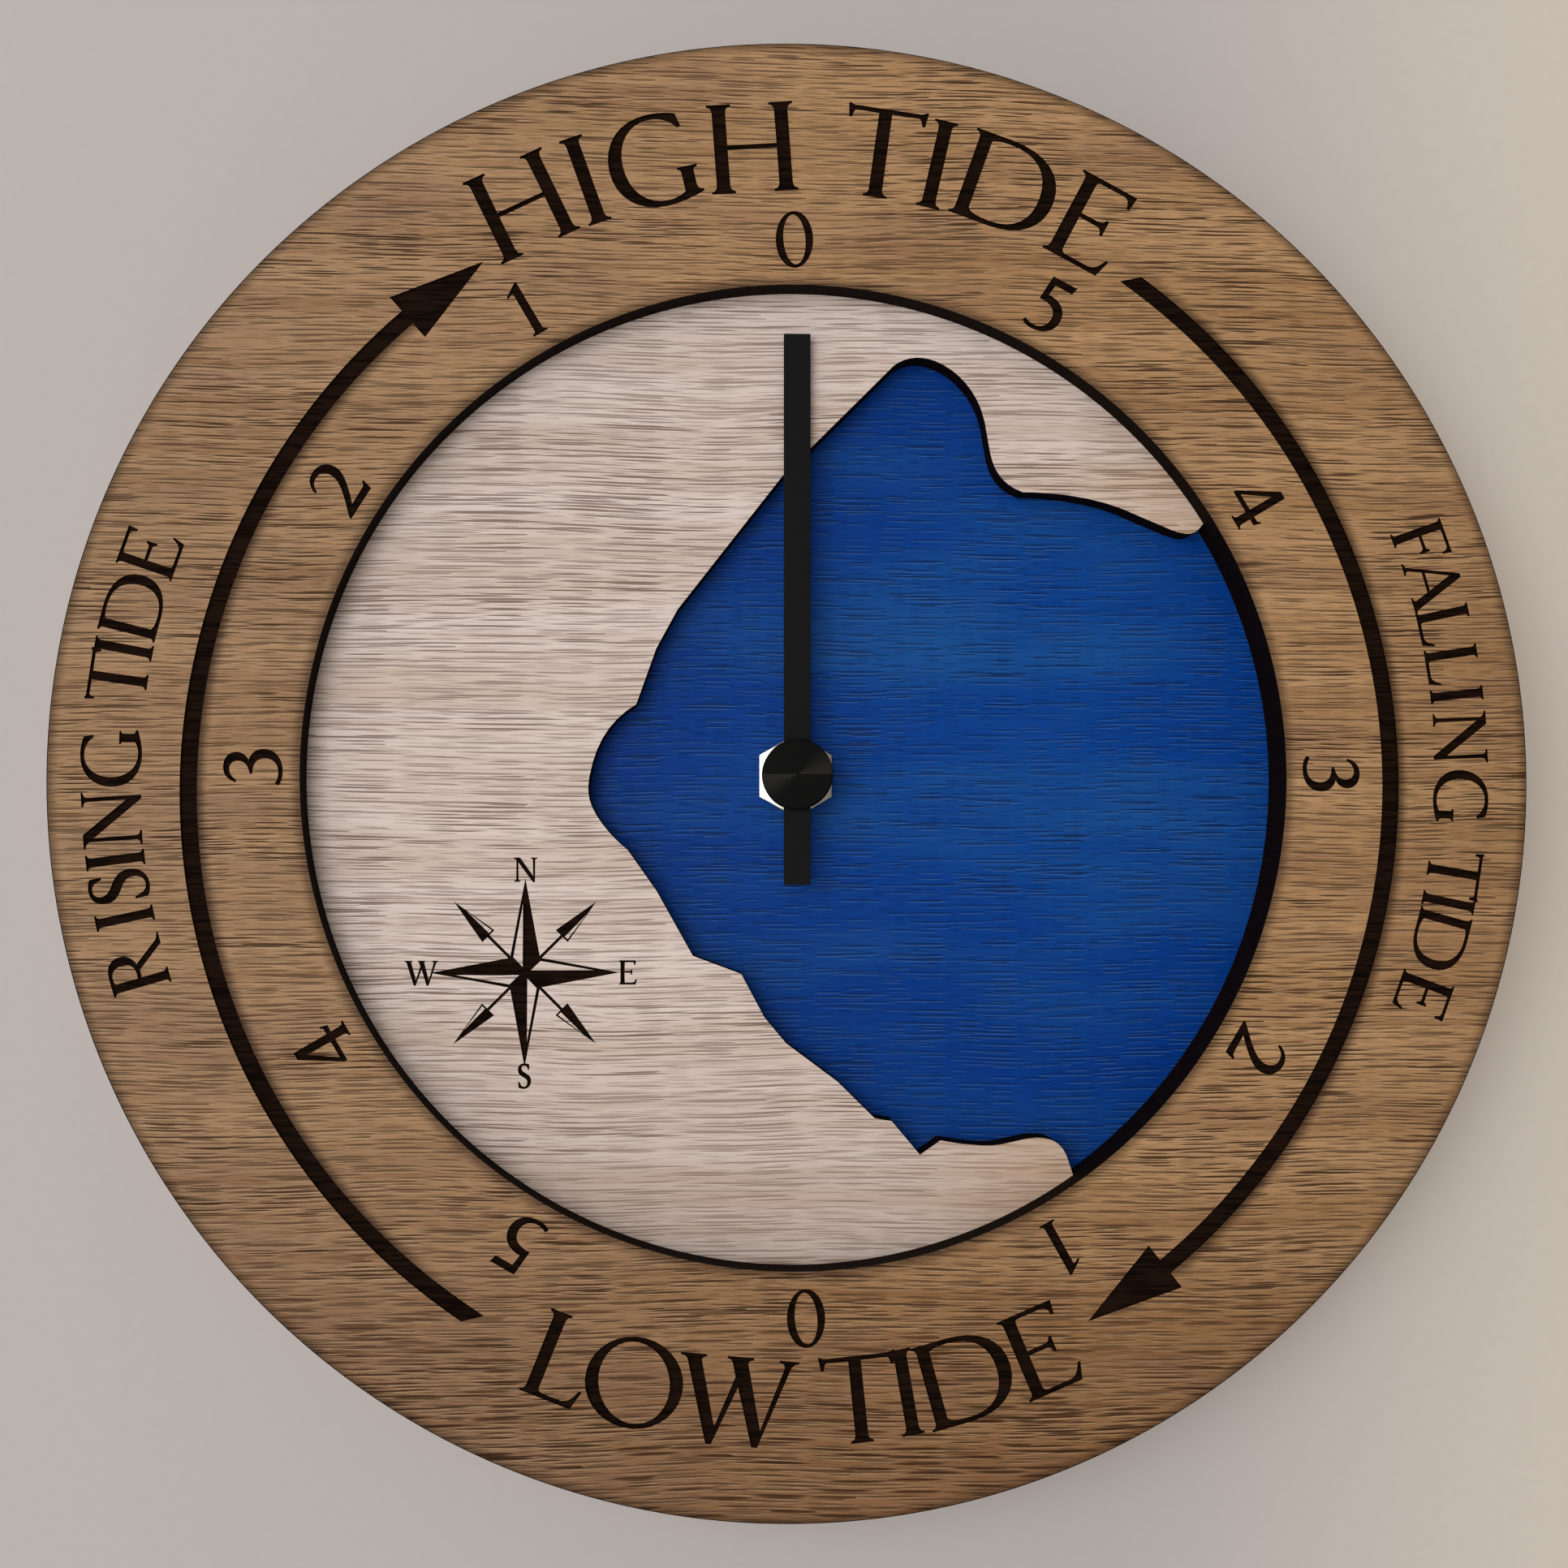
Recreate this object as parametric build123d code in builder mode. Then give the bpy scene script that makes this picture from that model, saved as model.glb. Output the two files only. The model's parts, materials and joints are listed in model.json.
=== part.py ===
"""Wall-hung tide clock: three wooden dial boards, one hand, and a battery movement behind them.

Millimetres. +Z is up, the dial faces -Y, and the wall is the plane Y = 0. The origin is on the wall,
straight behind the hand's arbor. Depths are counted from the wall towards the viewer.
"""

import os
from math import acos, cos, pi, radians, sin, tan

from build123d import *

# Dial boards
ring_outer_radius = 150.0
ring_width = 50.0
ring_thickness = 7.0
land_thickness = 7.0
sea_thickness = 7.0

# Engraved arc arrows on the ring, angles clockwise from the top of the dial
arc_inset = 21.5  # from the ring's inner edge to the arc's middle
arc_width = 3.3
arc_depth = 0.6
arrow_length = 19.0
arrow_width = 11.3
rising_arc = (-149.0, -31.5)
falling_arc = (34.5, 152.0)

# Hand and its hub
hand_tip_gap = 9.0  # from the hand's tip to the ring's inner edge
hand_tail = 22.6
hand_width = 5.5
hand_thickness = 0.8
collet_radius = 4.0
collet_flange = 0.8
collet_tube_radius = 3.0
collet_height = 3.0
cap_radius = 6.9
cap_rim = 1.4
cap_dome = 1.0
cap_peg_radius = 1.0
cap_peg_length = 2.5

# Bush, nut, washer and gasket
bush_radius = 5.0
bush_reach = 5.0  # stands this far out of the sea disc's front
bush_flange_radius = 6.5
bush_flange = 1.2
nut_across_flats = 15.0
nut_thickness = 2.4
washer_radius = 7.0
washer_thickness = 0.6
gasket_radius = 14.0
gasket_thickness = 1.0
dial_hole_clearance = 0.25
hand_clearance = 1.0  # between the bush's end and the hand's collet

# Battery, one AA cell
battery_length = 50.5
battery_radius = 7.25
battery_nub_radius = 2.75
battery_nub_length = 1.3
battery_clearance = 0.15

# Movement case
case_wall = 1.2
case_front_wall = 1.0
case_corner = 2.0
contact_room = 1.6
train_room_up = 18.5
train_room_down = 18.0
cover_thickness = 1.2
cover_recess = 3.0
cover_clearance = 0.15
cover_ledge = 1.0
boss_radius = 1.3
post_radius = 1.5
post_peg_radius = 0.8
peg_clearance = 0.05

# Hanger loop on the rear cover
hanger_width = 16.0
hanger_eye_radius = 3.5
hanger_rise = 6.5  # from the case's top to the eye's centre
hanger_setback = 0.3
hanger_foot = 5.0
hanger_clearance = 0.3

# Wheel train: teeth and modules of the five meshes, from the rotor to the hand
pinion_teeth = 8
first_teeth = 48
second_teeth = 48
third_teeth = 72
clutch_teeth = 72
set_pinion_teeth = 9
tide_teeth = 69
first_module = 0.16
second_module = 0.20
third_module = 0.18
clutch_module = 0.20
tide_module = 0.30
pressure_angle = radians(28)
tooth_addendum = 0.6
tooth_dedendum = 0.85
tooth_backlash = 0.05
wheel_thickness = 0.6
clutch_thickness = 0.8
tide_wheel_thickness = 1.2
pinion_overlap = 0.2
level_gap = 0.4
end_shake = 0.3
pivot_clearance = 0.04
pivot_radius = 0.35
pivot_depth = 0.8
arbor_radius = 2.0
tide_pivot_radius = 0.8
set_arbor_radius = 1.0
set_shoulder_radius = 1.3
set_shoulder = 0.6
spring_radius = 2.2
spring_thickness = 0.3
knob_radius = 5.0
knob_thickness = 2.0
knob_gap = 0.3
knob_notch_radius = 0.6
knob_notches = 18
plate_gap = 1.2  # from the cover's inside to the gear plate
plate_thickness = 1.2
plate_margin = 3.0

# Directions from each axis to the next, in degrees from +X
set_direction = 40.0
third_direction = -10.0
second_direction = -75.0
first_direction = -110.0
rotor_direction = 195.0

# Stepping motor and electronics
magnet_radius = 2.5
magnet_thickness = 2.4
stator_gap = 0.4
stator_wall = 0.9
stator_thickness = 1.0
stator_bar_width = 4.0
core_thickness = 1.0
core_width = 3.0
core_drop = 6.5  # from the rotor's height down to the coil's axis
coil_length = 20.0
coil_radius = 3.0
bobbin_radius = 3.3
bobbin_flange = 0.8
bobbin_wall = 0.5
stator_span = 33.0  # from the rotor to the far leg
board_width = 18.0
board_height = 19.0
board_thickness = 1.0
board_gap = 0.8  # from the case's left inside wall
board_rise = 5.0  # the board's middle above the arbor
crystal_radius = 1.0
crystal_length = 6.0
chip_radius = 3.0
chip_height = 0.9
leaf_thickness = 0.3
leaf_width = 6.0
leaf_tongue = 7.0
leaf_touch_gap = 0.05

# Radii on the dial
ring_inner_radius = ring_outer_radius - ring_width
arc_radius = ring_inner_radius + arc_inset
hand_length = ring_inner_radius - hand_tip_gap
bay_reach = ring_inner_radius  # the coast's points are shares of this

# Depths from the wall, worked out from the stack of pieces, from the cover to the ring's front
cover_inside = cover_recess + cover_thickness
plate_back = cover_inside + plate_gap
plate_front = plate_back + plate_thickness
first_back = plate_front + end_shake + pinion_overlap
first_front = first_back + wheel_thickness
second_back = first_front + end_shake + pinion_overlap
second_front = second_back + wheel_thickness
third_back = second_front + level_gap + pinion_overlap
third_front = third_back + wheel_thickness
shoulder_back = third_front + level_gap
spring_back = shoulder_back + set_shoulder
clutch_back = spring_back + spring_thickness
set_pinion_back = clutch_back + clutch_thickness
tide_back = set_pinion_back + pinion_overlap
tide_front = tide_back + tide_wheel_thickness
front_inside = tide_front + end_shake + bush_flange
case_depth = front_inside + case_front_wall
sea_back = case_depth + gasket_thickness
sea_front = sea_back + sea_thickness
land_front = sea_front + land_thickness
ring_front = land_front + ring_thickness
washer_front = sea_front + washer_thickness
bush_end = sea_front + bush_reach
collet_back = bush_end + hand_clearance
hand_back = collet_back + collet_height
hand_front = hand_back + hand_thickness

# Places in the dial's plane, as (X, Z)
half_inside = battery_length / 2 + contact_room
half_width = half_inside + case_wall
case_top = train_room_up + cover_ledge + case_wall
battery_z = -(train_room_down + case_wall + battery_clearance + battery_radius)
case_bottom = battery_z - battery_radius - battery_clearance - case_wall
battery_depth = front_inside - battery_clearance - battery_radius


def mesh_place(start, module, wheel_teeth, small_teeth, direction):
    """Where the axis of a wheel in mesh with one at start lies, in a direction counted from +X."""
    distance = module * (wheel_teeth + small_teeth) / 2
    return (start[0] + distance * cos(radians(direction)), start[1] + distance * sin(radians(direction)))


centre = (0.0, 0.0)
set_place = mesh_place(centre, tide_module, tide_teeth, set_pinion_teeth, set_direction)
third_place = mesh_place(set_place, clutch_module, clutch_teeth, pinion_teeth, third_direction)
second_place = mesh_place(third_place, third_module, third_teeth, pinion_teeth, second_direction)
first_place = mesh_place(second_place, second_module, second_teeth, pinion_teeth, first_direction)
rotor_place = mesh_place(first_place, first_module, first_teeth, pinion_teeth, rotor_direction)
core_z = rotor_place[1] - core_drop
far_leg_x = rotor_place[0] - stator_span
plate_left = -plate_margin - tide_pivot_radius
plate_right = half_inside - cover_clearance
plate_bottom = rotor_place[1] - pivot_radius - plate_margin / 2
plate_top = train_room_up - cover_clearance
post_inset = post_radius + cover_clearance
post_places = [
    (plate_left + post_inset, plate_top - post_inset),
    (plate_right - post_inset, plate_top - post_inset),
    (plate_right - post_inset, plate_bottom + post_inset),
]
board_left = -half_inside + board_gap
board_centre = (board_left + board_width / 2, board_rise)
board_front = plate_front + board_thickness
board_posts = [
    (board_left + post_inset, board_rise + board_height / 2 - post_inset),
    (board_left + post_inset, board_rise - board_height / 2 + post_inset),
]
hanger_eye_z = case_top + hanger_rise


def dial_plane(depth, place=centre, turn=0.0):
    """A sketch plane parallel to the dial, facing the viewer, turned anticlockwise by an angle."""
    along = (cos(radians(turn)), 0, sin(radians(turn)))
    return Plane(origin=(place[0], -depth, place[1]), x_dir=along, z_dir=(0, -1, 0))


def on_dial(radius, clockwise):
    """A point on the dial at an angle clockwise from the top."""
    return (radius * sin(radians(clockwise)), radius * cos(radians(clockwise)))


def gear_points(teeth, module):
    """Corners of a toothed wheel's outline, with the first tooth's middle on the sketch's X axis."""
    pitch_radius = module * teeth / 2
    base_radius = pitch_radius * cos(pressure_angle)
    tip_radius = pitch_radius + tooth_addendum * module
    root_radius = pitch_radius - tooth_dedendum * module
    half_tooth = pi / (2 * teeth) - tooth_backlash / (2 * pitch_radius)
    half_base = half_tooth + tan(pressure_angle) - pressure_angle
    flank = [(root_radius, half_base)] if root_radius < base_radius else []
    for radius in (max(root_radius, base_radius), pitch_radius, tip_radius):
        slope = acos(min(1.0, base_radius / radius))
        flank.append((radius, half_base - tan(slope) + slope))
    points = []
    for tooth in range(teeth):
        middle = 2 * pi * tooth / teeth
        rising = [(radius, middle - half) for radius, half in flank]
        falling = [(radius, middle + half) for radius, half in reversed(flank)]
        points += [(radius * cos(angle), radius * sin(angle)) for radius, angle in rising + falling]
    return points


def add_gear(depth, place, teeth, module, thickness, mesh_direction, has_gap):
    """A toothed disc with a tooth, or the gap between two teeth, in the direction of its mesh."""
    turn = mesh_direction + (180.0 / teeth if has_gap else 0.0)
    with BuildSketch(dial_plane(depth, place, turn)) as outline:
        with BuildLine():
            Polyline(*gear_points(teeth, module), close=True)
        make_face()
    extrude(outline.sketch, amount=thickness)


def add_disc(depth, place, radius, thickness, mode=Mode.ADD):
    """A round disc or hole that starts at a depth and runs towards the viewer."""
    with BuildSketch(dial_plane(depth, place)) as outline:
        Circle(radius)
    extrude(outline.sketch, amount=thickness, mode=mode)


def add_box(depth, x_range, z_range, thickness, mode=Mode.ADD):
    """A straight block between two X and two Z values."""
    middle = ((x_range[0] + x_range[1]) / 2, (z_range[0] + z_range[1]) / 2)
    with BuildSketch(dial_plane(depth, middle)) as outline:
        Rectangle(x_range[1] - x_range[0], z_range[1] - z_range[0])
    extrude(outline.sketch, amount=thickness, mode=mode)


def finish(builder, name):
    """Name a finished piece and write it to its own file."""
    builder.part.label = name
    export_step(builder.part, f"parts/{name}.step")


os.makedirs("parts", exist_ok=True)


# Dial ring, with the two arc arrows cut into its face
def cut_arc_arrow(start, tip):
    """One curved arrow, engraved clockwise from its blunt start to its tip."""
    neck = tip - arrow_length / arc_radius * 180 / pi
    inner = arc_radius - arc_width / 2
    outer = arc_radius + arc_width / 2
    middle = (start + neck) / 2
    with BuildSketch(dial_plane(ring_front)) as arrow:
        with BuildLine():
            ThreePointArc(on_dial(outer, start), on_dial(outer, middle), on_dial(outer, neck))
            Line(on_dial(outer, neck), on_dial(arc_radius + arrow_width / 2, neck))
            Line(on_dial(arc_radius + arrow_width / 2, neck), on_dial(arc_radius, tip))
            Line(on_dial(arc_radius, tip), on_dial(arc_radius - arrow_width / 2, neck))
            Line(on_dial(arc_radius - arrow_width / 2, neck), on_dial(inner, neck))
            ThreePointArc(on_dial(inner, neck), on_dial(inner, middle), on_dial(inner, start))
            Line(on_dial(inner, start), on_dial(outer, start))
        make_face()
    extrude(arrow.sketch, amount=-arc_depth, mode=Mode.SUBTRACT)


with BuildPart() as dial_ring:
    add_disc(land_front, centre, ring_outer_radius, ring_thickness)
    add_disc(land_front, centre, ring_inner_radius, ring_thickness, Mode.SUBTRACT)
    for arc in (rising_arc, falling_arc):
        cut_arc_arrow(*arc)
finish(dial_ring, "dial_ring")

# Land layer: a full board with the bay cut out of it, as far as the ring's inside
# The coast runs from the upper right, round the bay's head, to the lower right and out to open water
# Each stretch starts where the one before it ends
coast_start = (0.99, 0.694)
coast = [
    (Spline, [(0.862, 0.557), (0.828, 0.507), (0.773, 0.517), (0.662, 0.563), (0.541, 0.587), (0.471, 0.59)]),
    (Spline, [(0.411, 0.646), (0.39, 0.746), (0.333, 0.837), (0.258, 0.87), (0.203, 0.853)]),
    (Polyline, [(-0.029, 0.62), (-0.245, 0.342), (-0.289, 0.261), (-0.33, 0.145)]),
    (Spline, [(-0.401, 0.071), (-0.423, 0.009), (-0.427, -0.041), (-0.409, -0.086), (-0.346, -0.155)]),
    (Polyline, [(-0.287, -0.239), (-0.213, -0.371), (-0.114, -0.408), (-0.067, -0.496)]),
    (Polyline, [(-0.022, -0.55), (0.084, -0.629), (0.16, -0.704), (0.195, -0.71), (0.253, -0.779)]),
    (Polyline, [(0.295, -0.75)]),
    (Spline, [(0.366, -0.76), (0.413, -0.76), (0.476, -0.747), (0.517, -0.748), (0.558, -0.789)]),
    (Spline, [(0.57, -0.83), (0.615, -1.04)]),
    (Polyline, [(1.6, -1.04), (1.6, 0.694), coast_start]),
]

with BuildPart() as land_layer:
    add_disc(sea_front, centre, ring_outer_radius, land_thickness)
    with BuildSketch(dial_plane(sea_front)):
        with BuildLine():
            stretch_start = coast_start
            for curve, shares in coast:
                curve(*[(bay_reach * x, bay_reach * z) for x, z in [stretch_start] + shares])
                stretch_start = shares[-1]
        make_face()
        Circle(ring_inner_radius, mode=Mode.INTERSECT)
    extrude(amount=land_thickness, mode=Mode.SUBTRACT)
finish(land_layer, "land_layer")

# Sea disc: a full board with a hole for the bush
with BuildPart() as sea_disc:
    add_disc(sea_back, centre, ring_outer_radius, sea_thickness)
    add_disc(sea_back, centre, bush_radius + dial_hole_clearance, sea_thickness, Mode.SUBTRACT)
finish(sea_disc, "sea_disc")

# Gasket, washer and nut that clamp the boards to the movement
with BuildPart() as rubber_gasket:
    add_disc(case_depth, centre, gasket_radius, gasket_thickness)
    add_disc(case_depth, centre, bush_radius, gasket_thickness, Mode.SUBTRACT)
finish(rubber_gasket, "rubber_gasket")

with BuildPart() as dial_washer:
    add_disc(sea_front, centre, washer_radius, washer_thickness)
    add_disc(sea_front, centre, bush_radius, washer_thickness, Mode.SUBTRACT)
finish(dial_washer, "dial_washer")

with BuildPart() as hex_nut:
    with BuildSketch(dial_plane(washer_front, turn=30.0)):
        RegularPolygon(nut_across_flats / 2, 6, major_radius=False)
    extrude(amount=nut_thickness)
    with BuildSketch(Plane.XY):
        with BuildLine():
            nut_point_radius = nut_across_flats / 2 / cos(pi / 6)
            nut_slope = (nut_point_radius - nut_across_flats / 2) / 2
            nut_front = -(washer_front + nut_thickness)
            Polyline(
                (0, -washer_front),
                (nut_point_radius, -washer_front),
                (nut_point_radius, nut_front + nut_slope),
                (nut_across_flats / 2, nut_front),
                (0, nut_front),
                close=True,
            )
        make_face()
    revolve(axis=Axis.Y, mode=Mode.INTERSECT)
    add_disc(washer_front, centre, bush_radius, nut_thickness, Mode.SUBTRACT)
finish(hex_nut, "hex_nut")

# Bush: flanged inside the case, with the bore that the hand's arbor turns in
with BuildPart() as threaded_bush:
    add_disc(front_inside - bush_flange, centre, bush_flange_radius, bush_flange)
    add_disc(front_inside, centre, bush_radius, bush_end - front_inside)
    bush_length = bush_end - front_inside + bush_flange
    bush_bore_radius = arbor_radius + pivot_clearance
    add_disc(front_inside - bush_flange, centre, bush_bore_radius, bush_length, Mode.SUBTRACT)
finish(threaded_bush, "threaded_bush")


# Movement case: front wall, battery bay, and the posts and bosses that carry the train
def add_pivot_boss(place, wheel_front):
    """A boss on the case's front wall with a blind hole for a front pivot."""
    boss_back = wheel_front + end_shake
    add_disc(boss_back, place, boss_radius, front_inside - boss_back)
    add_disc(boss_back, place, pivot_radius + pivot_clearance, pivot_depth, Mode.SUBTRACT)


third_arbor_front = set_pinion_back
second_arbor_front = third_front + pinion_overlap
set_arbor_front = tide_front + pinion_overlap
magnet_back = first_front + pinion_overlap + level_gap
magnet_front = magnet_back + magnet_thickness
stator_back = magnet_back + (magnet_thickness - stator_thickness) / 2
stator_front = stator_back + stator_thickness
bay_floor = battery_z - battery_radius - battery_clearance
bay_ceiling = battery_z + battery_radius + battery_clearance

with BuildPart() as movement_case:
    add_box(0, (-half_width, half_width), (case_bottom, case_top), case_depth)
    fillet(movement_case.edges().filter_by(Axis.Y), radius=case_corner)
    add_box(0, (-half_inside, half_inside), (-train_room_down, train_room_up), front_inside, Mode.SUBTRACT)
    cover_seat = (-train_room_down - case_wall, train_room_up + cover_ledge)
    add_box(0, (-half_inside, half_inside), cover_seat, cover_inside, Mode.SUBTRACT)
    add_box(0, (-half_inside, half_inside), (bay_floor, bay_ceiling), front_inside, Mode.SUBTRACT)
    add_disc(front_inside, centre, bush_radius, case_front_wall, Mode.SUBTRACT)
    notch_half = hanger_width / 2 + hanger_clearance
    add_box(0, (-notch_half, notch_half), (train_room_up, case_top), cover_recess, Mode.SUBTRACT)
    leaf_slot = leaf_thickness + 2 * leaf_touch_gap
    leaf_back = battery_depth - leaf_width / 2
    for side in (-1, 1):
        slot_x = sorted((side * half_inside, side * (half_inside - leaf_slot)))
        slot_z = (-train_room_down - case_wall, -train_room_down)
        add_box(leaf_back, slot_x, slot_z, leaf_width, Mode.SUBTRACT)
    add_pivot_boss(set_place, set_arbor_front)
    add_pivot_boss(third_place, third_arbor_front)
    add_pivot_boss(second_place, second_arbor_front)
    add_pivot_boss(first_place, stator_front)
    add_pivot_boss(rotor_place, magnet_front)
    for place in post_places:
        add_disc(plate_front, place, post_radius, front_inside - plate_front)
        add_disc(plate_back, place, post_peg_radius, plate_thickness)
    for place in board_posts:
        add_disc(board_front, place, post_radius, front_inside - board_front)
    for leg_x in (far_leg_x, rotor_place[0]):
        add_disc(stator_front, (leg_x, core_z), post_radius, front_inside - stator_front)
finish(movement_case, "movement_case")

# Rear cover: plate in its seat, the hanger loop, and a centre boss that meets the wall
with BuildPart() as rear_cover:
    cover_half = half_inside - cover_clearance
    cover_z = (-train_room_down - case_wall + cover_clearance, train_room_up + cover_ledge - cover_clearance)
    add_box(cover_recess, (-cover_half, cover_half), cover_z, cover_thickness)
    add_disc(0, centre, collet_radius, cover_recess)
    hanger_depth = cover_recess - hanger_setback
    hanger_half = hanger_width / 2
    hanger_z = (train_room_up - hanger_foot, hanger_eye_z)
    add_box(hanger_setback, (-hanger_half, hanger_half), hanger_z, hanger_depth)
    add_disc(hanger_setback, (0, hanger_eye_z), hanger_half, hanger_depth)
    add_disc(hanger_setback, (0, hanger_eye_z), hanger_eye_radius, hanger_depth, Mode.SUBTRACT)
    add_disc(cover_recess, set_place, set_arbor_radius + pivot_clearance, cover_thickness, Mode.SUBTRACT)
finish(rear_cover, "rear_cover")

# Gear plate: bridge with the rear pivot holes
with BuildPart() as gear_plate:
    add_box(plate_back, (plate_left, plate_right), (plate_bottom, plate_top), plate_thickness)
    for place in (third_place, second_place, first_place, rotor_place):
        add_disc(plate_back, place, pivot_radius + pivot_clearance, plate_thickness, Mode.SUBTRACT)
    add_disc(plate_back, centre, tide_pivot_radius + pivot_clearance, plate_thickness, Mode.SUBTRACT)
    add_disc(plate_back, set_place, set_arbor_radius + pivot_clearance, plate_thickness, Mode.SUBTRACT)
    for place in post_places:
        add_disc(plate_back, place, post_peg_radius + peg_clearance, plate_thickness, Mode.SUBTRACT)
finish(gear_plate, "gear_plate")

# Tide wheel on the arbor that carries the hand
with BuildPart() as tide_wheel:
    add_gear(tide_back, centre, tide_teeth, tide_module, tide_wheel_thickness, set_direction, False)
    add_disc(tide_back, centre, arbor_radius, hand_front - tide_back)
    add_disc(plate_front, centre, tide_pivot_radius * 2, tide_back - plate_front)
    add_disc(plate_back, centre, tide_pivot_radius, plate_thickness)
    add_disc(hand_front - cap_peg_length, centre, cap_peg_radius, cap_peg_length, Mode.SUBTRACT)
finish(tide_wheel, "tide_wheel")

# Hand, its collet and its cap
with BuildPart() as hand_collet:
    add_disc(collet_back, centre, collet_tube_radius, collet_height)
    add_disc(hand_back - collet_flange, centre, collet_radius, collet_flange)
    add_disc(collet_back, centre, arbor_radius, collet_height, Mode.SUBTRACT)
finish(hand_collet, "hand_collet")

with BuildPart() as tide_hand:
    add_box(hand_back, (-hand_width / 2, hand_width / 2), (-hand_tail, hand_length), hand_thickness)
    add_disc(hand_back, centre, collet_radius, hand_thickness)
    add_disc(hand_back, centre, arbor_radius, hand_thickness, Mode.SUBTRACT)
finish(tide_hand, "tide_hand")

with BuildPart() as hub_cap:
    with BuildSketch(Plane.XY):
        with BuildLine():
            cap_crown = -(hand_front + cap_rim + cap_dome)
            Polyline(
                (0, cap_crown),
                (0, -(hand_front - cap_peg_length)),
                (cap_peg_radius, -(hand_front - cap_peg_length)),
                (cap_peg_radius, -hand_front),
                (cap_radius, -hand_front),
                (cap_radius, -(hand_front + cap_rim)),
            )
            TangentArc((0, cap_crown), (cap_radius, -(hand_front + cap_rim)), tangent=(1, 0))
        make_face()
    revolve(axis=Axis.Y)
finish(hub_cap, "hub_cap")

# Set arbor with its pinion, friction spring, clutch wheel and knob
knob_back = cover_recess - knob_gap - knob_thickness
with BuildPart() as set_arbor:
    add_disc(knob_back, set_place, set_arbor_radius, set_arbor_front - knob_back)
    add_disc(set_arbor_front, set_place, pivot_radius, end_shake + pivot_depth / 2)
    add_disc(shoulder_back, set_place, set_shoulder_radius, set_shoulder)
finish(set_arbor, "set_arbor")

with BuildPart() as set_pinion:
    set_pinion_length = tide_wheel_thickness + 2 * pinion_overlap
    facing = set_direction + 180.0
    add_gear(set_pinion_back, set_place, set_pinion_teeth, tide_module, set_pinion_length, facing, True)
    add_disc(set_pinion_back, set_place, set_arbor_radius, set_pinion_length, Mode.SUBTRACT)
finish(set_pinion, "set_pinion")

with BuildPart() as friction_spring:
    add_disc(spring_back, set_place, spring_radius, spring_thickness)
    add_disc(spring_back, set_place, set_arbor_radius, spring_thickness, Mode.SUBTRACT)
finish(friction_spring, "friction_spring")

with BuildPart() as clutch_wheel:
    add_gear(clutch_back, set_place, clutch_teeth, clutch_module, clutch_thickness, third_direction, True)
    add_disc(clutch_back, set_place, set_arbor_radius + pivot_clearance, clutch_thickness, Mode.SUBTRACT)
finish(clutch_wheel, "clutch_wheel")

with BuildPart() as set_knob:
    add_disc(knob_back, set_place, knob_radius, knob_thickness)
    with BuildSketch(dial_plane(knob_back, set_place)):
        with PolarLocations(knob_radius, knob_notches):
            Circle(knob_notch_radius)
    extrude(amount=knob_thickness, mode=Mode.SUBTRACT)
    add_disc(knob_back, set_place, set_arbor_radius, knob_thickness, Mode.SUBTRACT)
finish(set_knob, "set_knob")


# Reduction wheels: a large wheel and a pinion on one thin arbor
def add_pivots(place, arbor_front):
    """A thin arbor from the gear plate to the boss in the case's front wall."""
    add_disc(plate_back, place, pivot_radius, arbor_front + end_shake + pivot_depth / 2 - plate_back)


def add_driven_wheel(place, depth, teeth, module, direction):
    """The large wheel, with a gap between two teeth where the pinion before it meshes."""
    add_gear(depth, place, teeth, module, wheel_thickness, direction, True)


def add_driving_pinion(place, depth, module, length, direction):
    """The pinion, with a tooth in the wheel that comes after it."""
    add_gear(depth, place, pinion_teeth, module, length, direction + 180, False)


pinion_length = wheel_thickness + 2 * pinion_overlap
clutch_pinion_length = clutch_thickness + pinion_overlap
with BuildPart() as third_wheel:
    add_driven_wheel(third_place, third_back, third_teeth, third_module, second_direction)
    pinion_back = clutch_back - pinion_overlap
    add_driving_pinion(third_place, pinion_back, clutch_module, clutch_pinion_length, third_direction)
    add_pivots(third_place, third_arbor_front)
finish(third_wheel, "third_wheel")

with BuildPart() as second_wheel:
    add_driven_wheel(second_place, second_back, second_teeth, second_module, first_direction)
    pinion_back = third_back - pinion_overlap
    add_driving_pinion(second_place, pinion_back, third_module, pinion_length, second_direction)
    add_pivots(second_place, second_arbor_front)
finish(second_wheel, "second_wheel")

with BuildPart() as first_wheel:
    add_driven_wheel(first_place, first_back, first_teeth, first_module, rotor_direction)
    pinion_back = second_back - pinion_overlap
    add_driving_pinion(first_place, pinion_back, second_module, pinion_length, first_direction)
    add_pivots(first_place, stator_front)
finish(first_wheel, "first_wheel")

# Rotor: pinion on its arbor, with the magnet pressed on
with BuildPart() as rotor_pinion:
    pinion_back = first_back - pinion_overlap
    add_driving_pinion(rotor_place, pinion_back, first_module, pinion_length, rotor_direction)
    add_pivots(rotor_place, magnet_front)
finish(rotor_pinion, "rotor_pinion")

with BuildPart() as rotor_magnet:
    add_disc(magnet_back, rotor_place, magnet_radius, magnet_thickness)
    add_disc(magnet_back, rotor_place, pivot_radius, magnet_thickness, Mode.SUBTRACT)
finish(rotor_magnet, "rotor_magnet")

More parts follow.
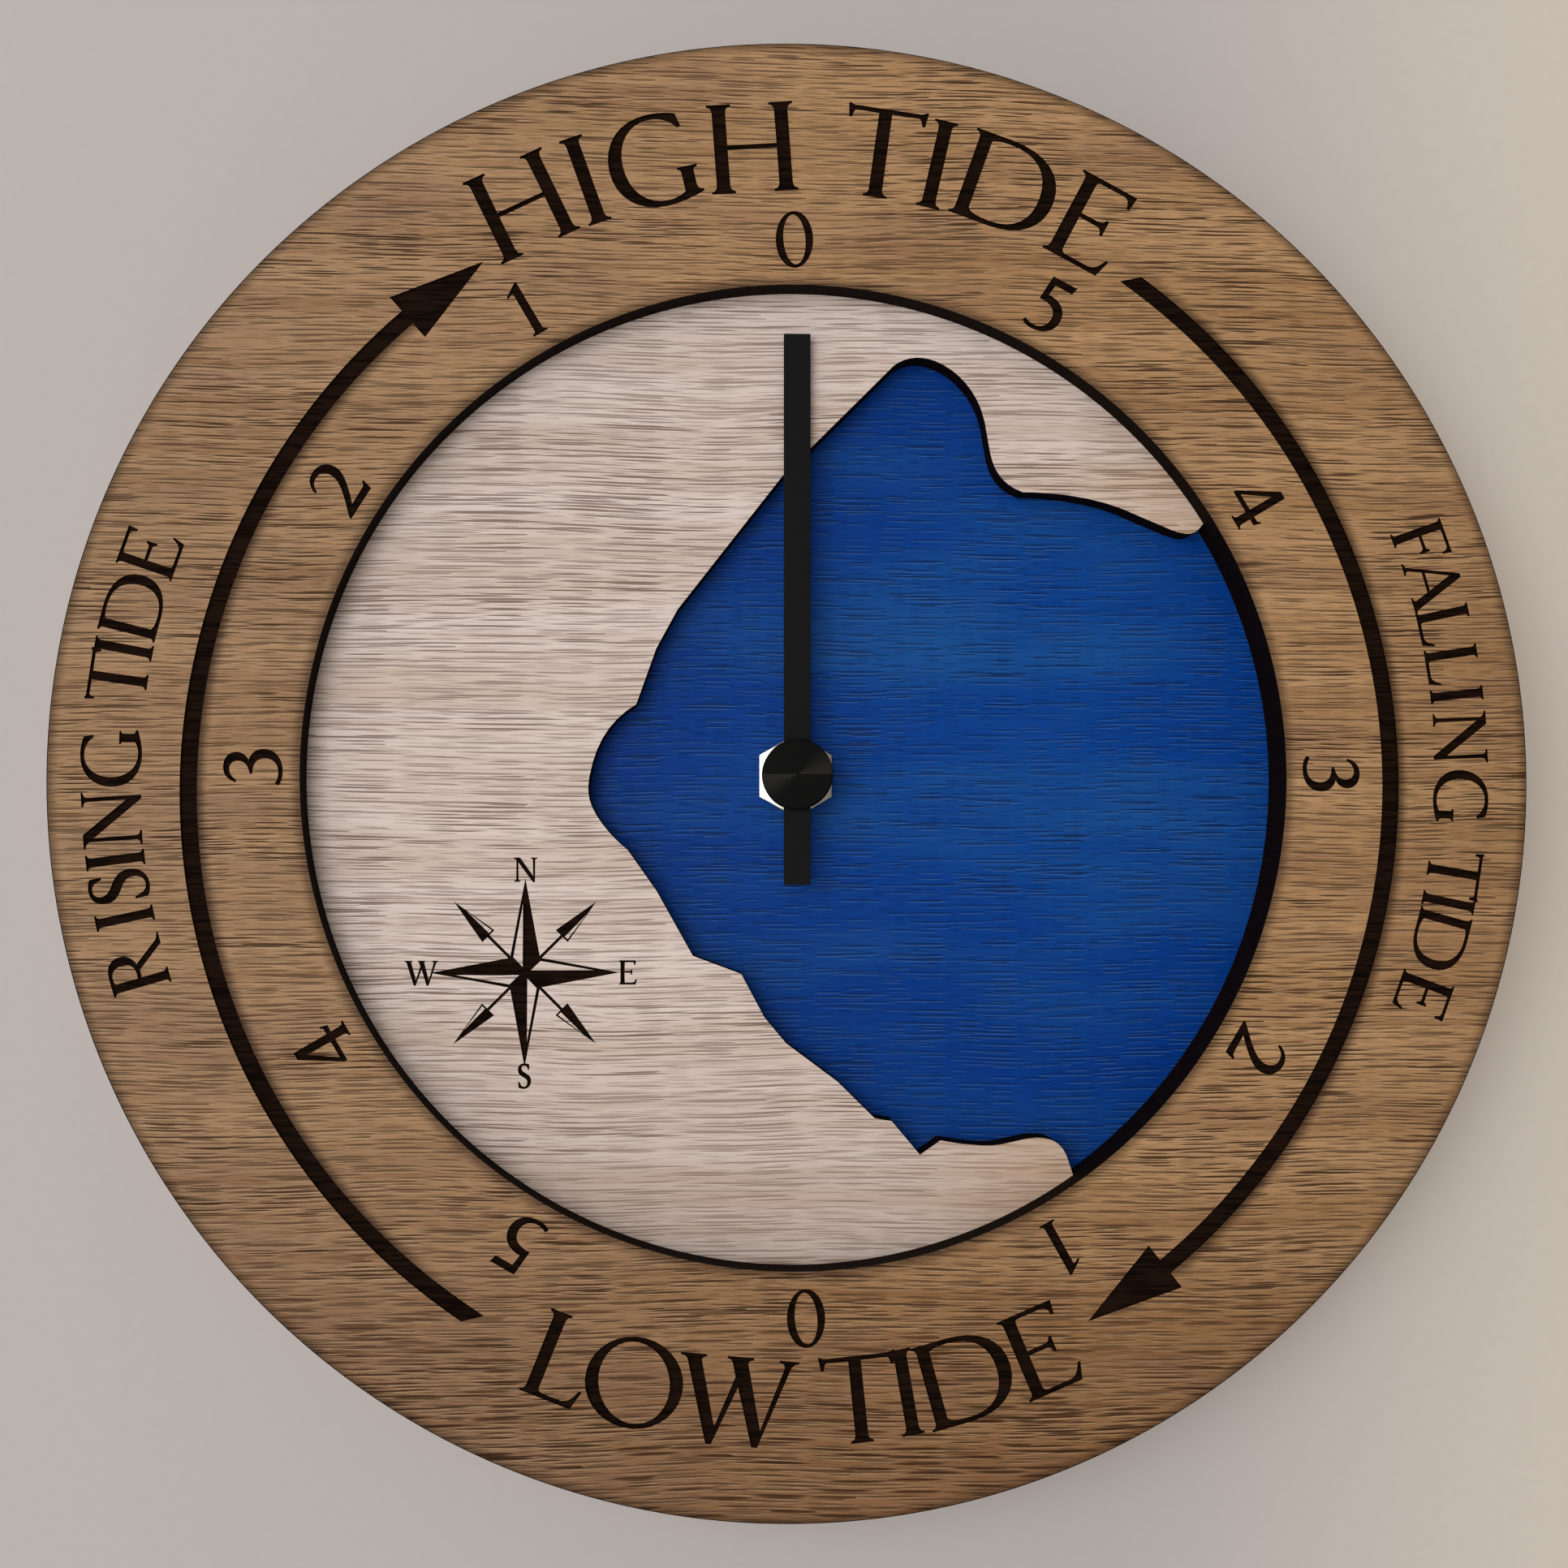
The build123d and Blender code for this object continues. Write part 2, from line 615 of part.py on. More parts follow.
# Stator plate round the rotor, with two legs down to the coil's core
stator_outer = magnet_radius + stator_gap + stator_wall
leg_half = core_width / 2
bar_half = stator_bar_width / 2
with BuildPart() as stator_plate:
    add_disc(stator_back, rotor_place, stator_outer, stator_thickness)
    bar_z = (rotor_place[1] - bar_half, rotor_place[1] + bar_half)
    add_box(stator_back, (far_leg_x - leg_half, rotor_place[0]), bar_z, stator_thickness)
    leg_z = (core_z - leg_half, rotor_place[1])
    for leg_x in (far_leg_x, rotor_place[0]):
        add_box(stator_back, (leg_x - leg_half, leg_x + leg_half), leg_z, stator_thickness)
    add_disc(stator_back, rotor_place, magnet_radius + stator_gap, stator_thickness, Mode.SUBTRACT)
finish(stator_plate, "stator_plate")

core_back = stator_back - core_thickness
core_middle = core_back + core_thickness / 2
coil_x = (far_leg_x + rotor_place[0]) / 2
coil_axis = Plane(origin=(coil_x - coil_length / 2, -core_middle, core_z), x_dir=(0, 0, 1), z_dir=(1, 0, 0))
with BuildPart() as coil_core:
    core_x = (far_leg_x - leg_half, rotor_place[0] + leg_half)
    add_box(core_back, core_x, (core_z - leg_half, core_z + leg_half), core_thickness)
finish(coil_core, "coil_core")

bobbin_tube_radius = ((core_width / 2) ** 2 + (core_thickness / 2) ** 2) ** 0.5 + bobbin_wall
with BuildPart() as coil_bobbin:
    with BuildSketch(coil_axis):
        Circle(bobbin_tube_radius)
    extrude(amount=coil_length)
    with BuildSketch(coil_axis, coil_axis.offset(coil_length - bobbin_flange)):
        Circle(bobbin_radius)
    extrude(amount=bobbin_flange)
    with BuildSketch(coil_axis):
        Rectangle(core_width, core_thickness)
    extrude(amount=coil_length, mode=Mode.SUBTRACT)
finish(coil_bobbin, "coil_bobbin")

with BuildPart() as coil_winding:
    with BuildSketch(coil_axis.offset(bobbin_flange)):
        Circle(coil_radius)
        Circle(bobbin_tube_radius, mode=Mode.SUBTRACT)
    extrude(amount=coil_length - 2 * bobbin_flange)
finish(coil_winding, "coil_winding")

# Circuit board with its crystal can and moulded chip on the wall side
board_x = (board_left, board_left + board_width)
board_z = (board_rise - board_height / 2, board_rise + board_height / 2)
with BuildPart() as circuit_board:
    add_box(plate_front, board_x, board_z, board_thickness)
finish(circuit_board, "circuit_board")

with BuildPart() as quartz_crystal:
    crystal_z = board_z[1] - board_height / 4
    crystal_start = (board_centre[0] - crystal_length / 2, crystal_radius - plate_front, crystal_z)
    with BuildSketch(Plane(origin=crystal_start, x_dir=(0, 0, 1), z_dir=(1, 0, 0))):
        Circle(crystal_radius)
    extrude(amount=crystal_length)
finish(quartz_crystal, "quartz_crystal")

with BuildPart() as driver_chip:
    with BuildSketch(dial_plane(plate_front - chip_height, (board_centre[0], board_z[0] + board_height / 3))):
        Circle(chip_radius)
    extrude(amount=chip_height)
    fillet(driver_chip.edges().sort_by(Axis.Y)[-1], radius=chip_height / 2)
finish(driver_chip, "driver_chip")

# Battery cell, with its positive nub towards +X
battery_start = (-battery_length / 2, -battery_depth, battery_z)
battery_axis = Plane(origin=battery_start, x_dir=(0, 0, 1), z_dir=(1, 0, 0))
with BuildPart() as battery_cell:
    with BuildSketch(battery_axis):
        Circle(battery_radius)
    extrude(amount=battery_length - battery_nub_length)
    with BuildSketch(battery_axis.offset(battery_length - battery_nub_length)):
        Circle(battery_nub_radius)
    extrude(amount=battery_nub_length)
finish(battery_cell, "battery_cell")

# Battery contacts: bowed leaves whose tails run to the circuit board
leaf_half = leaf_thickness / 2
wall_x = half_inside - leaf_half
touch_x = battery_length / 2 + leaf_touch_gap + leaf_half
strip_z = -train_room_down + leaf_half
tongue_top = battery_z + leaf_tongue / 2
positive_path = [
    (touch_x, battery_z - leaf_half),
    (touch_x, battery_z + leaf_half),
    (wall_x, tongue_top),
    (wall_x, strip_z),
    (board_x[0] + post_inset, strip_z),
    (board_x[0] + post_inset, board_z[0]),
]
negative_path = [
    (-touch_x, battery_z - leaf_half),
    (-touch_x, battery_z + leaf_half),
    (-wall_x, tongue_top),
    (-wall_x, board_rise),
    (board_x[0], board_rise),
]


def add_leaf(path):
    """A spring-brass strip bent along a path in the dial's plane."""
    with BuildSketch(dial_plane(leaf_back)) as leaf:
        with BuildLine() as strip:
            Polyline(*path)
        trace(strip.line, line_width=leaf_thickness)
    extrude(leaf.sketch, amount=leaf_width)


with BuildPart() as positive_contact:
    add_leaf(positive_path)
finish(positive_contact, "positive_contact")

with BuildPart() as negative_contact:
    add_leaf(negative_path)
finish(negative_contact, "negative_contact")
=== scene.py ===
"""Looks of the wall-hung tide clock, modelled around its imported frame, in metres.

+Z is up, the dial faces -Y and the wall is the plane Y = 0. Outlines on the dial are drawn in
millimetres, as (X, Z) seen from the front, and angles on it are clockwise from the top.
"""
import json
import math
from collections import Counter

import bmesh
import bpy
from mathutils import Matrix, Vector
from mathutils.geometry import delaunay_2d_cdt, interpolate_bezier


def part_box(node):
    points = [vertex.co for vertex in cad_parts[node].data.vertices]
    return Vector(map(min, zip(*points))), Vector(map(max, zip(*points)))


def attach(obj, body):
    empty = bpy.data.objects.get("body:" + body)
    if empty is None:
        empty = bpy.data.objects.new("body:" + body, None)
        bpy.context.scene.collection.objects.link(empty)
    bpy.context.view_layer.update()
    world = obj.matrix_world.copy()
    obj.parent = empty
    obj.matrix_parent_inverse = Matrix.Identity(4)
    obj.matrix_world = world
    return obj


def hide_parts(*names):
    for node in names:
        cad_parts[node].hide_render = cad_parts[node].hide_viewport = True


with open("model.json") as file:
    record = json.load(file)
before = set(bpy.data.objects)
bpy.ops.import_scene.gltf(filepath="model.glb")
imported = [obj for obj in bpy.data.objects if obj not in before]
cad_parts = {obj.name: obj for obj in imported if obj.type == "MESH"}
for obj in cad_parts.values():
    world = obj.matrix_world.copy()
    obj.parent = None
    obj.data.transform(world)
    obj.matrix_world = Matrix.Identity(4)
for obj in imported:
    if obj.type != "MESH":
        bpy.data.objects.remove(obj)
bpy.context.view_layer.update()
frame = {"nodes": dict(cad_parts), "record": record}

mm = 0.001
scene = bpy.context.scene


# Places and sizes read from the frame
def front_of(node):
    """Y of a piece's front."""
    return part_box(node)[0].y


def back_of(node):
    """Y of a piece's back."""
    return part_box(node)[1].y


def bore_of(node):
    """Radius of a piece's hole about the dial's axis."""
    return min(math.hypot(v.co.x, v.co.z) for v in frame["nodes"][node].data.vertices)


board_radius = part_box("dial_ring")[1].x
ring_inner_radius = bore_of("dial_ring")
sea_hole_radius = bore_of("sea_disc")

# How finely round shapes are drawn
arc_step = 1.5
circle_points = 360
curve_points = 9
round_steps = 96
cap_steps = 4
fill_accuracy = 0.0001

# Marks on the dial, in millimetres and degrees
dial_middle = Vector((0.0, 0.0))
engraving_depth = 0.6
edge_ease = 0.25
burn_width = 0.11  # by which burning widens a mark on each side
land_tuck = 0.4  # by which the land's opening runs under the ring
arcs = [
    {"centre": Vector((4.9, -2.7)), "radius": 126.9, "start": -146.6, "tip": -32.9, "smoke_side": -1},
    {"centre": Vector((-4.85, -1.0)), "radius": 126.4, "start": 35.5, "tip": 149.9, "smoke_side": 1},
]
arc_width = 3.2
arrow_length = 19.0
arrow_width = 10.6
arc_slant = 0.7  # of the blunt start's two corners

numeral_height = 11.3
numeral_radius = 109.3
numerals = [
    ("0", -0.4), ("5", 28.2), ("4", 59.3), ("3", 89.9), ("2", 121.1), ("1", 150.9),
    ("0", 179.2), ("5", 210.6), ("4", 239.8), ("3", 270.6), ("2", 301.8), ("1", 329.5),
]
words = [
    {
        "centre": dial_middle,
        "height": 18.3,
        "radius": 128.5,
        "tops": "out",
        "letters": [
            ("H", -26.0), ("I", -19.75), ("G", -13.4), ("H", -4.2),
            ("T", 7.8), ("I", 12.85), ("D", 19.65), ("E", 28.1),
        ],
    },
    {
        "centre": dial_middle,
        "height": 17.1,
        "radius": 126.0,
        "tops": "in",
        "letters": [
            ("L", -158.1), ("O", -164.9), ("W", -174.3),
            ("T", 174.3), ("I", 170.1), ("D", 164.5), ("E", 157.1),
        ],
    },
    {
        "centre": dial_middle,
        "height": 11.5,
        "radius": 137.3,
        "tops": "out",
        "letters": [
            ("R", -106.2), ("I", -102.2), ("S", -99.5), ("I", -97.3), ("N", -93.9), ("G", -88.8),
            ("T", -82.0), ("I", -79.6), ("D", -75.9), ("E", -71.2),
        ],
    },
    {
        "centre": Vector((0.0, 2.2)),
        "height": 10.9,
        "radius": 136.3,
        "tops": "out",
        "letters": [
            ("F", 70.5), ("A", 74.1), ("L", 77.9), ("L", 81.4), ("I", 84.0), ("N", 87.7), ("G", 92.8),
            ("T", 99.5), ("I", 102.0), ("D", 105.4), ("E", 110.4),
        ],
    },
]

# Grain of the veneers, smoke of the laser, and painted light and shade on the boards, in millimetres, shares
# and colours
# Painted highlight: how far below each pore its lighter copy is drawn, in millimetres.
painted_highlight_drop = 0.22
grain_sway = 3.0
sway_length = 55.5
dash_core = 0.55  # share of a dash that is at full strength
dash_spread = 0.4  # range of chance from no dash to a full one
fine_share = 0.6  # strength of the finest pores
crowd_least = 0.75  # strength of the pores between their crowds
smoke_width = 2.6
scorched_places = (Vector((84.0, 51.0)), Vector((55.0, -77.0)))
scorch_reach = 42.0
# Middle of the painted light on the sea. The sea is painted darker away from it, as painted shade towards the
# coast.
sea_painted_light_centre = Vector((46.0, 12.0))
pore_brown = "#331a08"
soot = "#2c1a0e"

# Turned, threaded and sleeved pieces, in millimetres
nut_turned_share = 0.95
nut_chamfer = 15.0
cap_radius = 7.2
cap_rounding = 0.4
cap_dome = 0.15
cap_ring_gap = 0.3
thread_pitch = 0.75
cell_band = 13.0
cell_base = 1.0  # bare metal at the minus end
cell_nub = 3.0  # bare metal at the plus end

# Fine texture of the other finishes, in millimetres, and the step of a wave pattern at a scale of 1
mottle_size = 16.7
lacquer_grit = 0.4
plaster_grit = 2.5
wave_period = math.pi / 10

# Raised and printed marks on the movement's cover, in millimetres
cover_thickness = 1.2
mark_border = 60.0  # from the dial's middle, past every mark
mark_height = 0.25
mark_width = 0.7
mark_size = 3.6
plus_place = (22.0, -12.5)
minus_place = (-22.0, -12.5)
mark_arrow_radius = 7.2
mark_arrow_start = 20.0
mark_arrow_step = 8.0
mark_arrow_points = 12

# Compass rose on the land, in millimetres
rose_place = Vector((-55.5, -40.45))
rose_reach = 19.1
rose_waist = 4.2
rose_line = 0.45
rose_blade = (10.6, 20.4)
rose_blade_width = 3.3
rose_letter_height = 4.8
rose_letter_reach = 21.0

# Camera and stage, in metres
camera_place = Vector((-19.7, -433.9, -16.5)) * mm
camera_target = Vector((-2.9, -38.0, -2.1)) * mm
stage_reach = 3.0
floor_level = -1.2
floor_front = -4.0

# Finish slots of a board's faces, and how the fill leaves out what lies outside
FACE, FLOOR, WALL, RIM, BACK = range(5)
TRIANGLES_INSIDE = 1


# Letter outlines, drawn in a box of this height
letter_box = 100


def stem_head(left, right):
    """Pen moves up a stem's left side, round the serifs at its top and to its right side."""
    return (
        f"L {left} 90 C {left} 95 {left - 2} 98 {left - 6} 98.2 L {left - 6} 100 L {right + 6} 100 "
        f"L {right + 6} 98.2 C {right + 2} 98 {right} 95 {right} 90 "
    )


def stem_foot(left, right):
    """Pen moves down a stem's right side, round the serifs at its foot and to its left side."""
    return (
        f"L {right} 10 C {right} 5 {right + 2} 2 {right + 6} 1.8 L {right + 6} 0 L {left - 6} 0 "
        f"L {left - 6} 1.8 C {left - 2} 2 {left} 5 {left} 10 "
    )


left_head = "L 6 90 C 6 95 4 98 0 98.2 L 0 100 "
left_foot = "L 0 0 L 0 1.8 C 4 2 6 5 6 10 "
letter_paths = {
    "I": ["M 6 50 " + stem_head(6, 20) + stem_foot(6, 20)],
    "H": [
        "M 6 50 " + stem_head(6, 20) + "L 20 53.5 L 76 53.5 " + stem_head(76, 90) + stem_foot(76, 90)
        + "L 76 49 L 20 49 " + stem_foot(6, 20)
    ],
    "T": [
        "M 35 50 L 35 95.5 L 9 96 C 6.5 96 5.5 92 4.5 87 L 2 87 L 0 102 L 2.5 102 C 4 100.5 6 100 9 100 "
        "L 80 100 C 84 100 86 101 87.5 102.5 L 90 102.5 L 87.5 87 L 85 87 C 84 92 82.5 96 80 96 "
        "L 49 95.5 " + stem_foot(35, 49)
    ],
    "D": [
        "M 6 50 " + left_head + "L 42 100 C 82 100 108 82 108 50 C 108 18 84 0 46 0 " + left_foot,
        "M 20 91 C 23 94.5 31 95.5 42 95.5 C 73 95.5 92.5 80 92.5 49 C 92.5 20 75 4.5 48 4.5 "
        "C 34 4.5 23 6 20 11",
    ],
    "G": [
        "M 88 83 L 85 97 C 74 101 65 102 54 102 C 22 102 0 80 0 49 C 0 18 22 -2 54 -2 C 68 -2 82 1 98 6 "
        "L 97.5 8 C 94 8 91 10 91 15 L 91 30 C 91 33 93 34.5 96 35 L 96 36.5 L 74 36.5 L 74 35 "
        "C 76.5 34.5 78 33 78 30 L 78 9 C 72 5 64 3 57 3 C 32 3 15 22 15 51 C 15 79 32 97 54 97 "
        "C 66 97 77 93 85 81.5 L 88 83"
    ],
    "E": [
        "M 6 50 " + left_head + "L 68 100 L 66 84 L 63.5 84 C 62.5 91 60 95.5 54 95.5 L 26 95.5 "
        "C 22 95.5 20 94 20 90 L 20 55 L 42 55 C 47 55 49 57 50 61 L 52.5 61 L 52.5 43 L 50 43 "
        "C 49 48 47 50.5 42 50.5 L 20 50.5 L 20 11 C 20 6 23 4.5 28 4.5 L 53 4.5 C 61 4.5 66 9 70.5 20 "
        "L 73 20 L 67 0 " + left_foot
    ],
    "F": [
        "M 6 50 " + left_head + "L 68 100 L 66 84 L 63.5 84 C 62.5 91 60 95.5 54 95.5 L 26 95.5 "
        "C 22 95.5 20 94 20 90 L 20 55 L 42 55 C 47 55 49 57 50 61 L 52.5 61 L 52.5 43 L 50 43 "
        "C 49 48 47 50.5 42 50.5 L 20 50.5 " + stem_foot(6, 20)
    ],
    "L": [
        "M 6 50 " + stem_head(6, 20) + "L 20 11 C 20 6 23 4.5 28 4.5 L 48 4.5 C 57 4.5 61 10 66 22 L 68.5 22 "
        "L 62.5 0 " + left_foot
    ],
    "W": [
        "M 0 100 L 30 100 L 30 98.2 C 26 98 23.5 96 24.5 92 L 46.5 17 L 66.5 77 L 62 92 "
        "C 61 96 59 98 55 98.2 L 55 100 L 85 100 L 85 98.2 C 81 98 78 96 79 92 L 100.5 17 "
        "L 122.5 90 C 123.5 95 121 98 116 98.2 L 116 100 L 138 100 L 138 98.2 C 133 98 130 95 128.5 90 "
        "L 98.5 -2 L 92.5 -2 L 70 66 L 44.5 -2 L 38.5 -2 L 9 92 C 7.5 96 5 98 0 98.2"
    ],
    "R": [
        "M 6 50 " + left_head + "L 34 100 C 53 100 64 90 64 75 C 64 62 56 53 44 49.5 L 72 12 "
        "C 77 5 81 2 88 1.8 L 88 0 L 70 0 L 34 47 C 30 46.5 25 46.7 20 47.5 " + stem_foot(6, 20),
        "M 20 91 C 21 94.5 25 95.5 31 95.5 C 43 95.5 50 88 50 74 C 50 59 41 52 30 52 C 25 52 21 52.5 20 53",
    ],
    "S": [
        "M 44 98 C 38 101 31 102 25 102 C 10 102 0 92 0 77 C 0 60 11 53 24 46 C 34 40.5 40 35 40 23 "
        "C 40 11 33 3 23 3 C 13 3 7 11 4 24 L 1 24 L 2.5 3.5 C 8 0 15 -2 22 -2 C 40 -2 52 11 52 29 "
        "C 52 46 42 54 28 62 C 18 67.5 11.5 73 11.5 83 C 11.5 91 16 97 25 97 C 34 97 39.5 90 42 79 L 45 79"
    ],
    "N": [
        "M 0 100 L 24 100 L 82 22 L 82 90 C 82 95 79 98 73 98.2 L 73 100 L 97 100 L 97 98.2 "
        "C 91 98 87.5 95 87.5 90 L 87.5 -2 L 82 -2 L 17.5 83 L 17.5 10 C 17.5 5 21 2 26 1.8 L 26 0 L 3 0 "
        "L 3 1.8 C 8 2 12 5 12 10 L 12 90.5 C 8.5 96 5 98 0 98.2"
    ],
    "A": [
        "M 46 102 L 52 102 L 89 10 C 91.5 4 95 2 100 1.8 L 100 0 L 67 0 L 67 1.8 C 73 2 76 4 74 10 "
        "L 64.5 33.5 L 24.5 33.5 L 15.5 10 C 13.5 4 17 2 22 1.8 L 22 0 L 0 0 L 0 1.8 C 5 2 8.5 4 10.5 10",
        "M 26.5 38 L 62.5 38 L 44 83",
    ],
    "1": [
        "M 14 50 L 14 84 C 14 87 12 87.5 9 86 L 2 82 L 1 84.5 L 26 101 L 28 101 L 28 10 "
        "C 28 5 30 2 35 1.8 L 35 0 L 7 0 L 7 1.8 C 12 2 14 5 14 10"
    ],
    "2": [
        "M 4 78 C 9 92 18 101 32 101 C 50 101 62 89 62 72 C 62 56 50 42 22 12 L 56 12 C 61 12 64 14 66 18 "
        "L 68.5 18 L 64 0 L 0 0 L 0 3 C 30 34 47 52 47 70 C 47 84 39 92 28 92 C 18 92 11 87 7 77"
    ],
    "3": [
        "M 5 80 C 10 94 19 101 31 101 C 47 101 57 92 57 79 C 57 69 51 62 42 57.5 C 56 53 63 44 63 31 "
        "C 63 12 47 -2 24 -2 C 14 -2 6 0 0 5 L 2.5 10 C 8 6 15 4 22 4 C 38 4 48 14 48 29 "
        "C 48 44 38 51.5 21 51 L 20 54.5 C 35 57 43 64 43 76 C 43 86 37 92 28 92 C 19 92 12 87 8 79"
    ],
    "4": [
        "M 44 101 L 57 101 L 57 35 L 68 35 C 70 36 71 38 72 40 L 74 40 L 70 27 L 57 27 L 57 10 "
        "C 57 5 59 2 64 1.8 L 64 0 L 36 0 L 36 1.8 C 41 2 43 5 43 10 L 43 27 L 0 27 L 0 31",
        "M 43 83 L 9.5 35 L 43 35",
    ],
    "5": [
        "M 12 100 L 56 100 L 60 102 L 56 88 L 22 88 L 19 66 C 42 67 60 55 60 33 C 60 12 43 -2 20 -2 "
        "C 11 -2 4 0 -1 4 L 2 9 C 7 5.5 12 4 18 4 C 34 4 45 14 45 30 C 45 47 31 56 8 54"
    ],
}


def pen(path):
    """A closed outline from pen moves: corners with the handles before and after them, None if straight."""
    numbers = path.split()
    outline = []
    while numbers:
        move = numbers.pop(0)
        count = 6 if move == "C" else 2
        values = [float(numbers.pop(0)) for _ in range(count)]
        corner = [Vector(values[-2:]), None, None]
        if move == "C":
            outline[-1][2] = Vector(values[:2])
            corner[1] = Vector(values[2:4])
        outline.append(corner)
    if (outline[-1][0] - outline[0][0]).length < 0.01:
        outline[0][1] = outline.pop()[1]
    return outline


def oval(centre, half_width, half_height, tilt=0.0):
    """A closed oval of four curved corners, tilted anticlockwise."""
    handle = 0.5523
    turn = Matrix.Rotation(math.radians(tilt), 2)
    outline = []
    for quarter in range(4):
        angle = math.radians(90 * quarter)
        out = Vector((half_width * math.cos(angle), half_height * math.sin(angle)))
        along = Vector((-half_width * math.sin(angle), half_height * math.cos(angle))) * handle
        outline.append([centre + turn @ part for part in (out, out - along, out + along)])
    return outline


letters = {name: [pen(path) for path in paths] for name, paths in letter_paths.items()}
letters["O"] = [oval(Vector((57, 50)), 57, 52.5), oval(Vector((57, 50)), 42, 48.5, 28)]
letters["0"] = [oval(Vector((33, 50)), 33, 51), oval(Vector((33, 50)), 21, 46.5, 4)]


def traced(outline):
    """An outline's points, anticlockwise, with its curved sides drawn in short steps."""
    points = []
    for (start, _, leave), (end, arrive, _) in zip(outline, outline[1:] + outline[:1]):
        if leave is None and arrive is None:
            points.append(start)
        else:
            points += interpolate_bezier(start, leave or start, arrive or end, end, curve_points)[:-1]
    turning = sum(start.cross(end) for start, end in zip(points, points[1:] + points[:1]))
    return points if turning > 0 else points[::-1]


def moved(outline, place):
    """An outline with each of its points sent through a placing function."""
    return [[None if point is None else place(point) for point in corner] for corner in outline]


def on_dial(radius, clockwise):
    """A point on the dial, from its radius and its angle clockwise from the top."""
    angle = math.radians(clockwise)
    return Vector((radius * math.sin(angle), radius * math.cos(angle)))


def letter_on_dial(name, height, centre, clockwise, tops):
    """A letter's outlines about a centre, turned clockwise, with its tops outwards or inwards."""
    across = [corner[0].x for corner in letters[name][0]]
    middle = Vector((min(across) + max(across), letter_box)) / 2
    scale = height / letter_box if tops == "out" else -height / letter_box
    turn = Matrix.Rotation(-math.radians(clockwise), 2)

    def place(point):
        """A point of the letter's box on the dial."""
        return centre + turn @ ((point - middle) * scale)

    return [moved(outline, place) for outline in letters[name]]


def straight(points):
    """A closed outline with straight sides."""
    return [[Vector(point), None, None] for point in points]


def circle(radius):
    """A closed round outline, as a polygon fine enough to look round."""
    return straight(on_dial(radius, 360 * i / circle_points) for i in range(circle_points))


def arc_arrow(arc):
    """A curved arrow round the ring, clockwise from its blunt start to its tip."""
    radius = arc["radius"]
    start = arc["start"]
    neck = arc["tip"] - math.degrees(arrow_length / radius)
    steps = round((neck - start) / arc_step)
    angles = [start + (neck - start) * i / steps for i in range(steps + 1)]
    outer = [on_dial(radius + arc_width / 2, angle) for angle in [start + arc_slant] + angles[1:]]
    inner = [on_dial(radius - arc_width / 2, angle) for angle in angles[:0:-1] + [start - arc_slant]]
    barbs = [on_dial(radius + side * arrow_width / 2, neck) for side in (1, -1)]
    outline = outer + [barbs[0], on_dial(radius, arc["tip"]), barbs[1]] + inner
    return straight(arc["centre"] + point for point in outline)


def inset_triangle(corners, gap):
    """A triangle drawn in by a gap on each side."""
    a, b, c = corners
    sides = [(b - c).length, (c - a).length, (a - b).length]
    middle = (a * sides[0] + b * sides[1] + c * sides[2]) / sum(sides)
    area = abs((b - a).cross(c - a)) / 2
    share = 1 - gap / (2 * area / sum(sides))
    return [middle + (corner - middle) * share for corner in corners]


def rose_outline(points, turn):
    """A straight-sided outline of the rose, drawn pointing up and turned about its middle."""
    return straight(rose_place + turn @ Vector(point) for point in points)


def compass_rose():
    """Marks of the rose: a four-point star with half of each point left standing, four blades and letters."""
    half = rose_blade_width / 2
    line = rose_line / 2
    start, end = rose_blade
    waist = rose_waist * math.sqrt(0.5)
    point = [(0, 0), (-waist, waist), (0, rose_reach), (waist, waist)]
    standing = inset_triangle([Vector(corner) for corner in point[:3]], rose_line)
    right_side = [(line, rose_waist), (line, start), (half, start)]
    blade = [(-x, z) for x, z in right_side] + [(0, end)] + right_side[::-1]
    pale = inset_triangle([Vector((line, start)), Vector((half, start)), Vector((line, end))], line)
    marks = []
    for quarter, name in enumerate("NESW"):
        turn = Matrix.Rotation(-math.radians(90 * quarter), 2)
        slant = Matrix.Rotation(-math.radians(90 * quarter + 45), 2)
        marks.append([rose_outline(point, turn), rose_outline(standing, turn)])
        marks.append([rose_outline(blade, slant), rose_outline(pale, slant)])
        centre = rose_place + turn @ Vector((0, rose_letter_reach))
        marks.append(letter_on_dial(name, rose_letter_height, centre, 0.0, "out"))
    return marks


def ring_marks():
    """Outlines of everything cut into the ring: words, numerals and the two arc arrows."""
    marks = [[arc_arrow(arc)] for arc in arcs]
    for word in words:
        for name, clockwise in word["letters"]:
            centre = word["centre"] + on_dial(word["radius"], clockwise)
            marks.append(letter_on_dial(name, word["height"], centre, clockwise, word["tops"]))
    for name, clockwise in numerals:
        centre = on_dial(numeral_radius, clockwise)
        marks.append(letter_on_dial(name, numeral_height, centre, clockwise, "out"))
    return marks


def bar(centre, width, height):
    """A straight-sided bar about a centre."""
    corners = ((-1, -1), (1, -1), (1, 1), (-1, 1))
    return straight((centre[0] + i * width / 2, centre[1] + j * height / 2) for i, j in corners)


def cover_marks():
    """Marks on the rear cover: plus and minus by the cell's ends and a turning arrow by the knob."""
    low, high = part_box("set_knob")
    knob = Vector((low.x + high.x, low.z + high.z)) / (2 * mm)
    angles = [mark_arrow_start + i * mark_arrow_step for i in range(mark_arrow_points)]
    band = [on_dial(mark_arrow_radius + mark_width / 2, angle) for angle in angles]
    band.append(on_dial(mark_arrow_radius + 1.5 * mark_width, angles[-1]))
    band.append(on_dial(mark_arrow_radius, angles[-1] + 2 * mark_arrow_step))
    band.append(on_dial(mark_arrow_radius - 1.5 * mark_width, angles[-1]))
    band += [on_dial(mark_arrow_radius - mark_width / 2, angle) for angle in reversed(angles)]
    return [
        [straight(knob + point for point in band)],
        [bar(plus_place, mark_size, mark_width)],
        [bar(plus_place, mark_width, mark_size)],
        [bar(minus_place, mark_size, mark_width)],
    ]


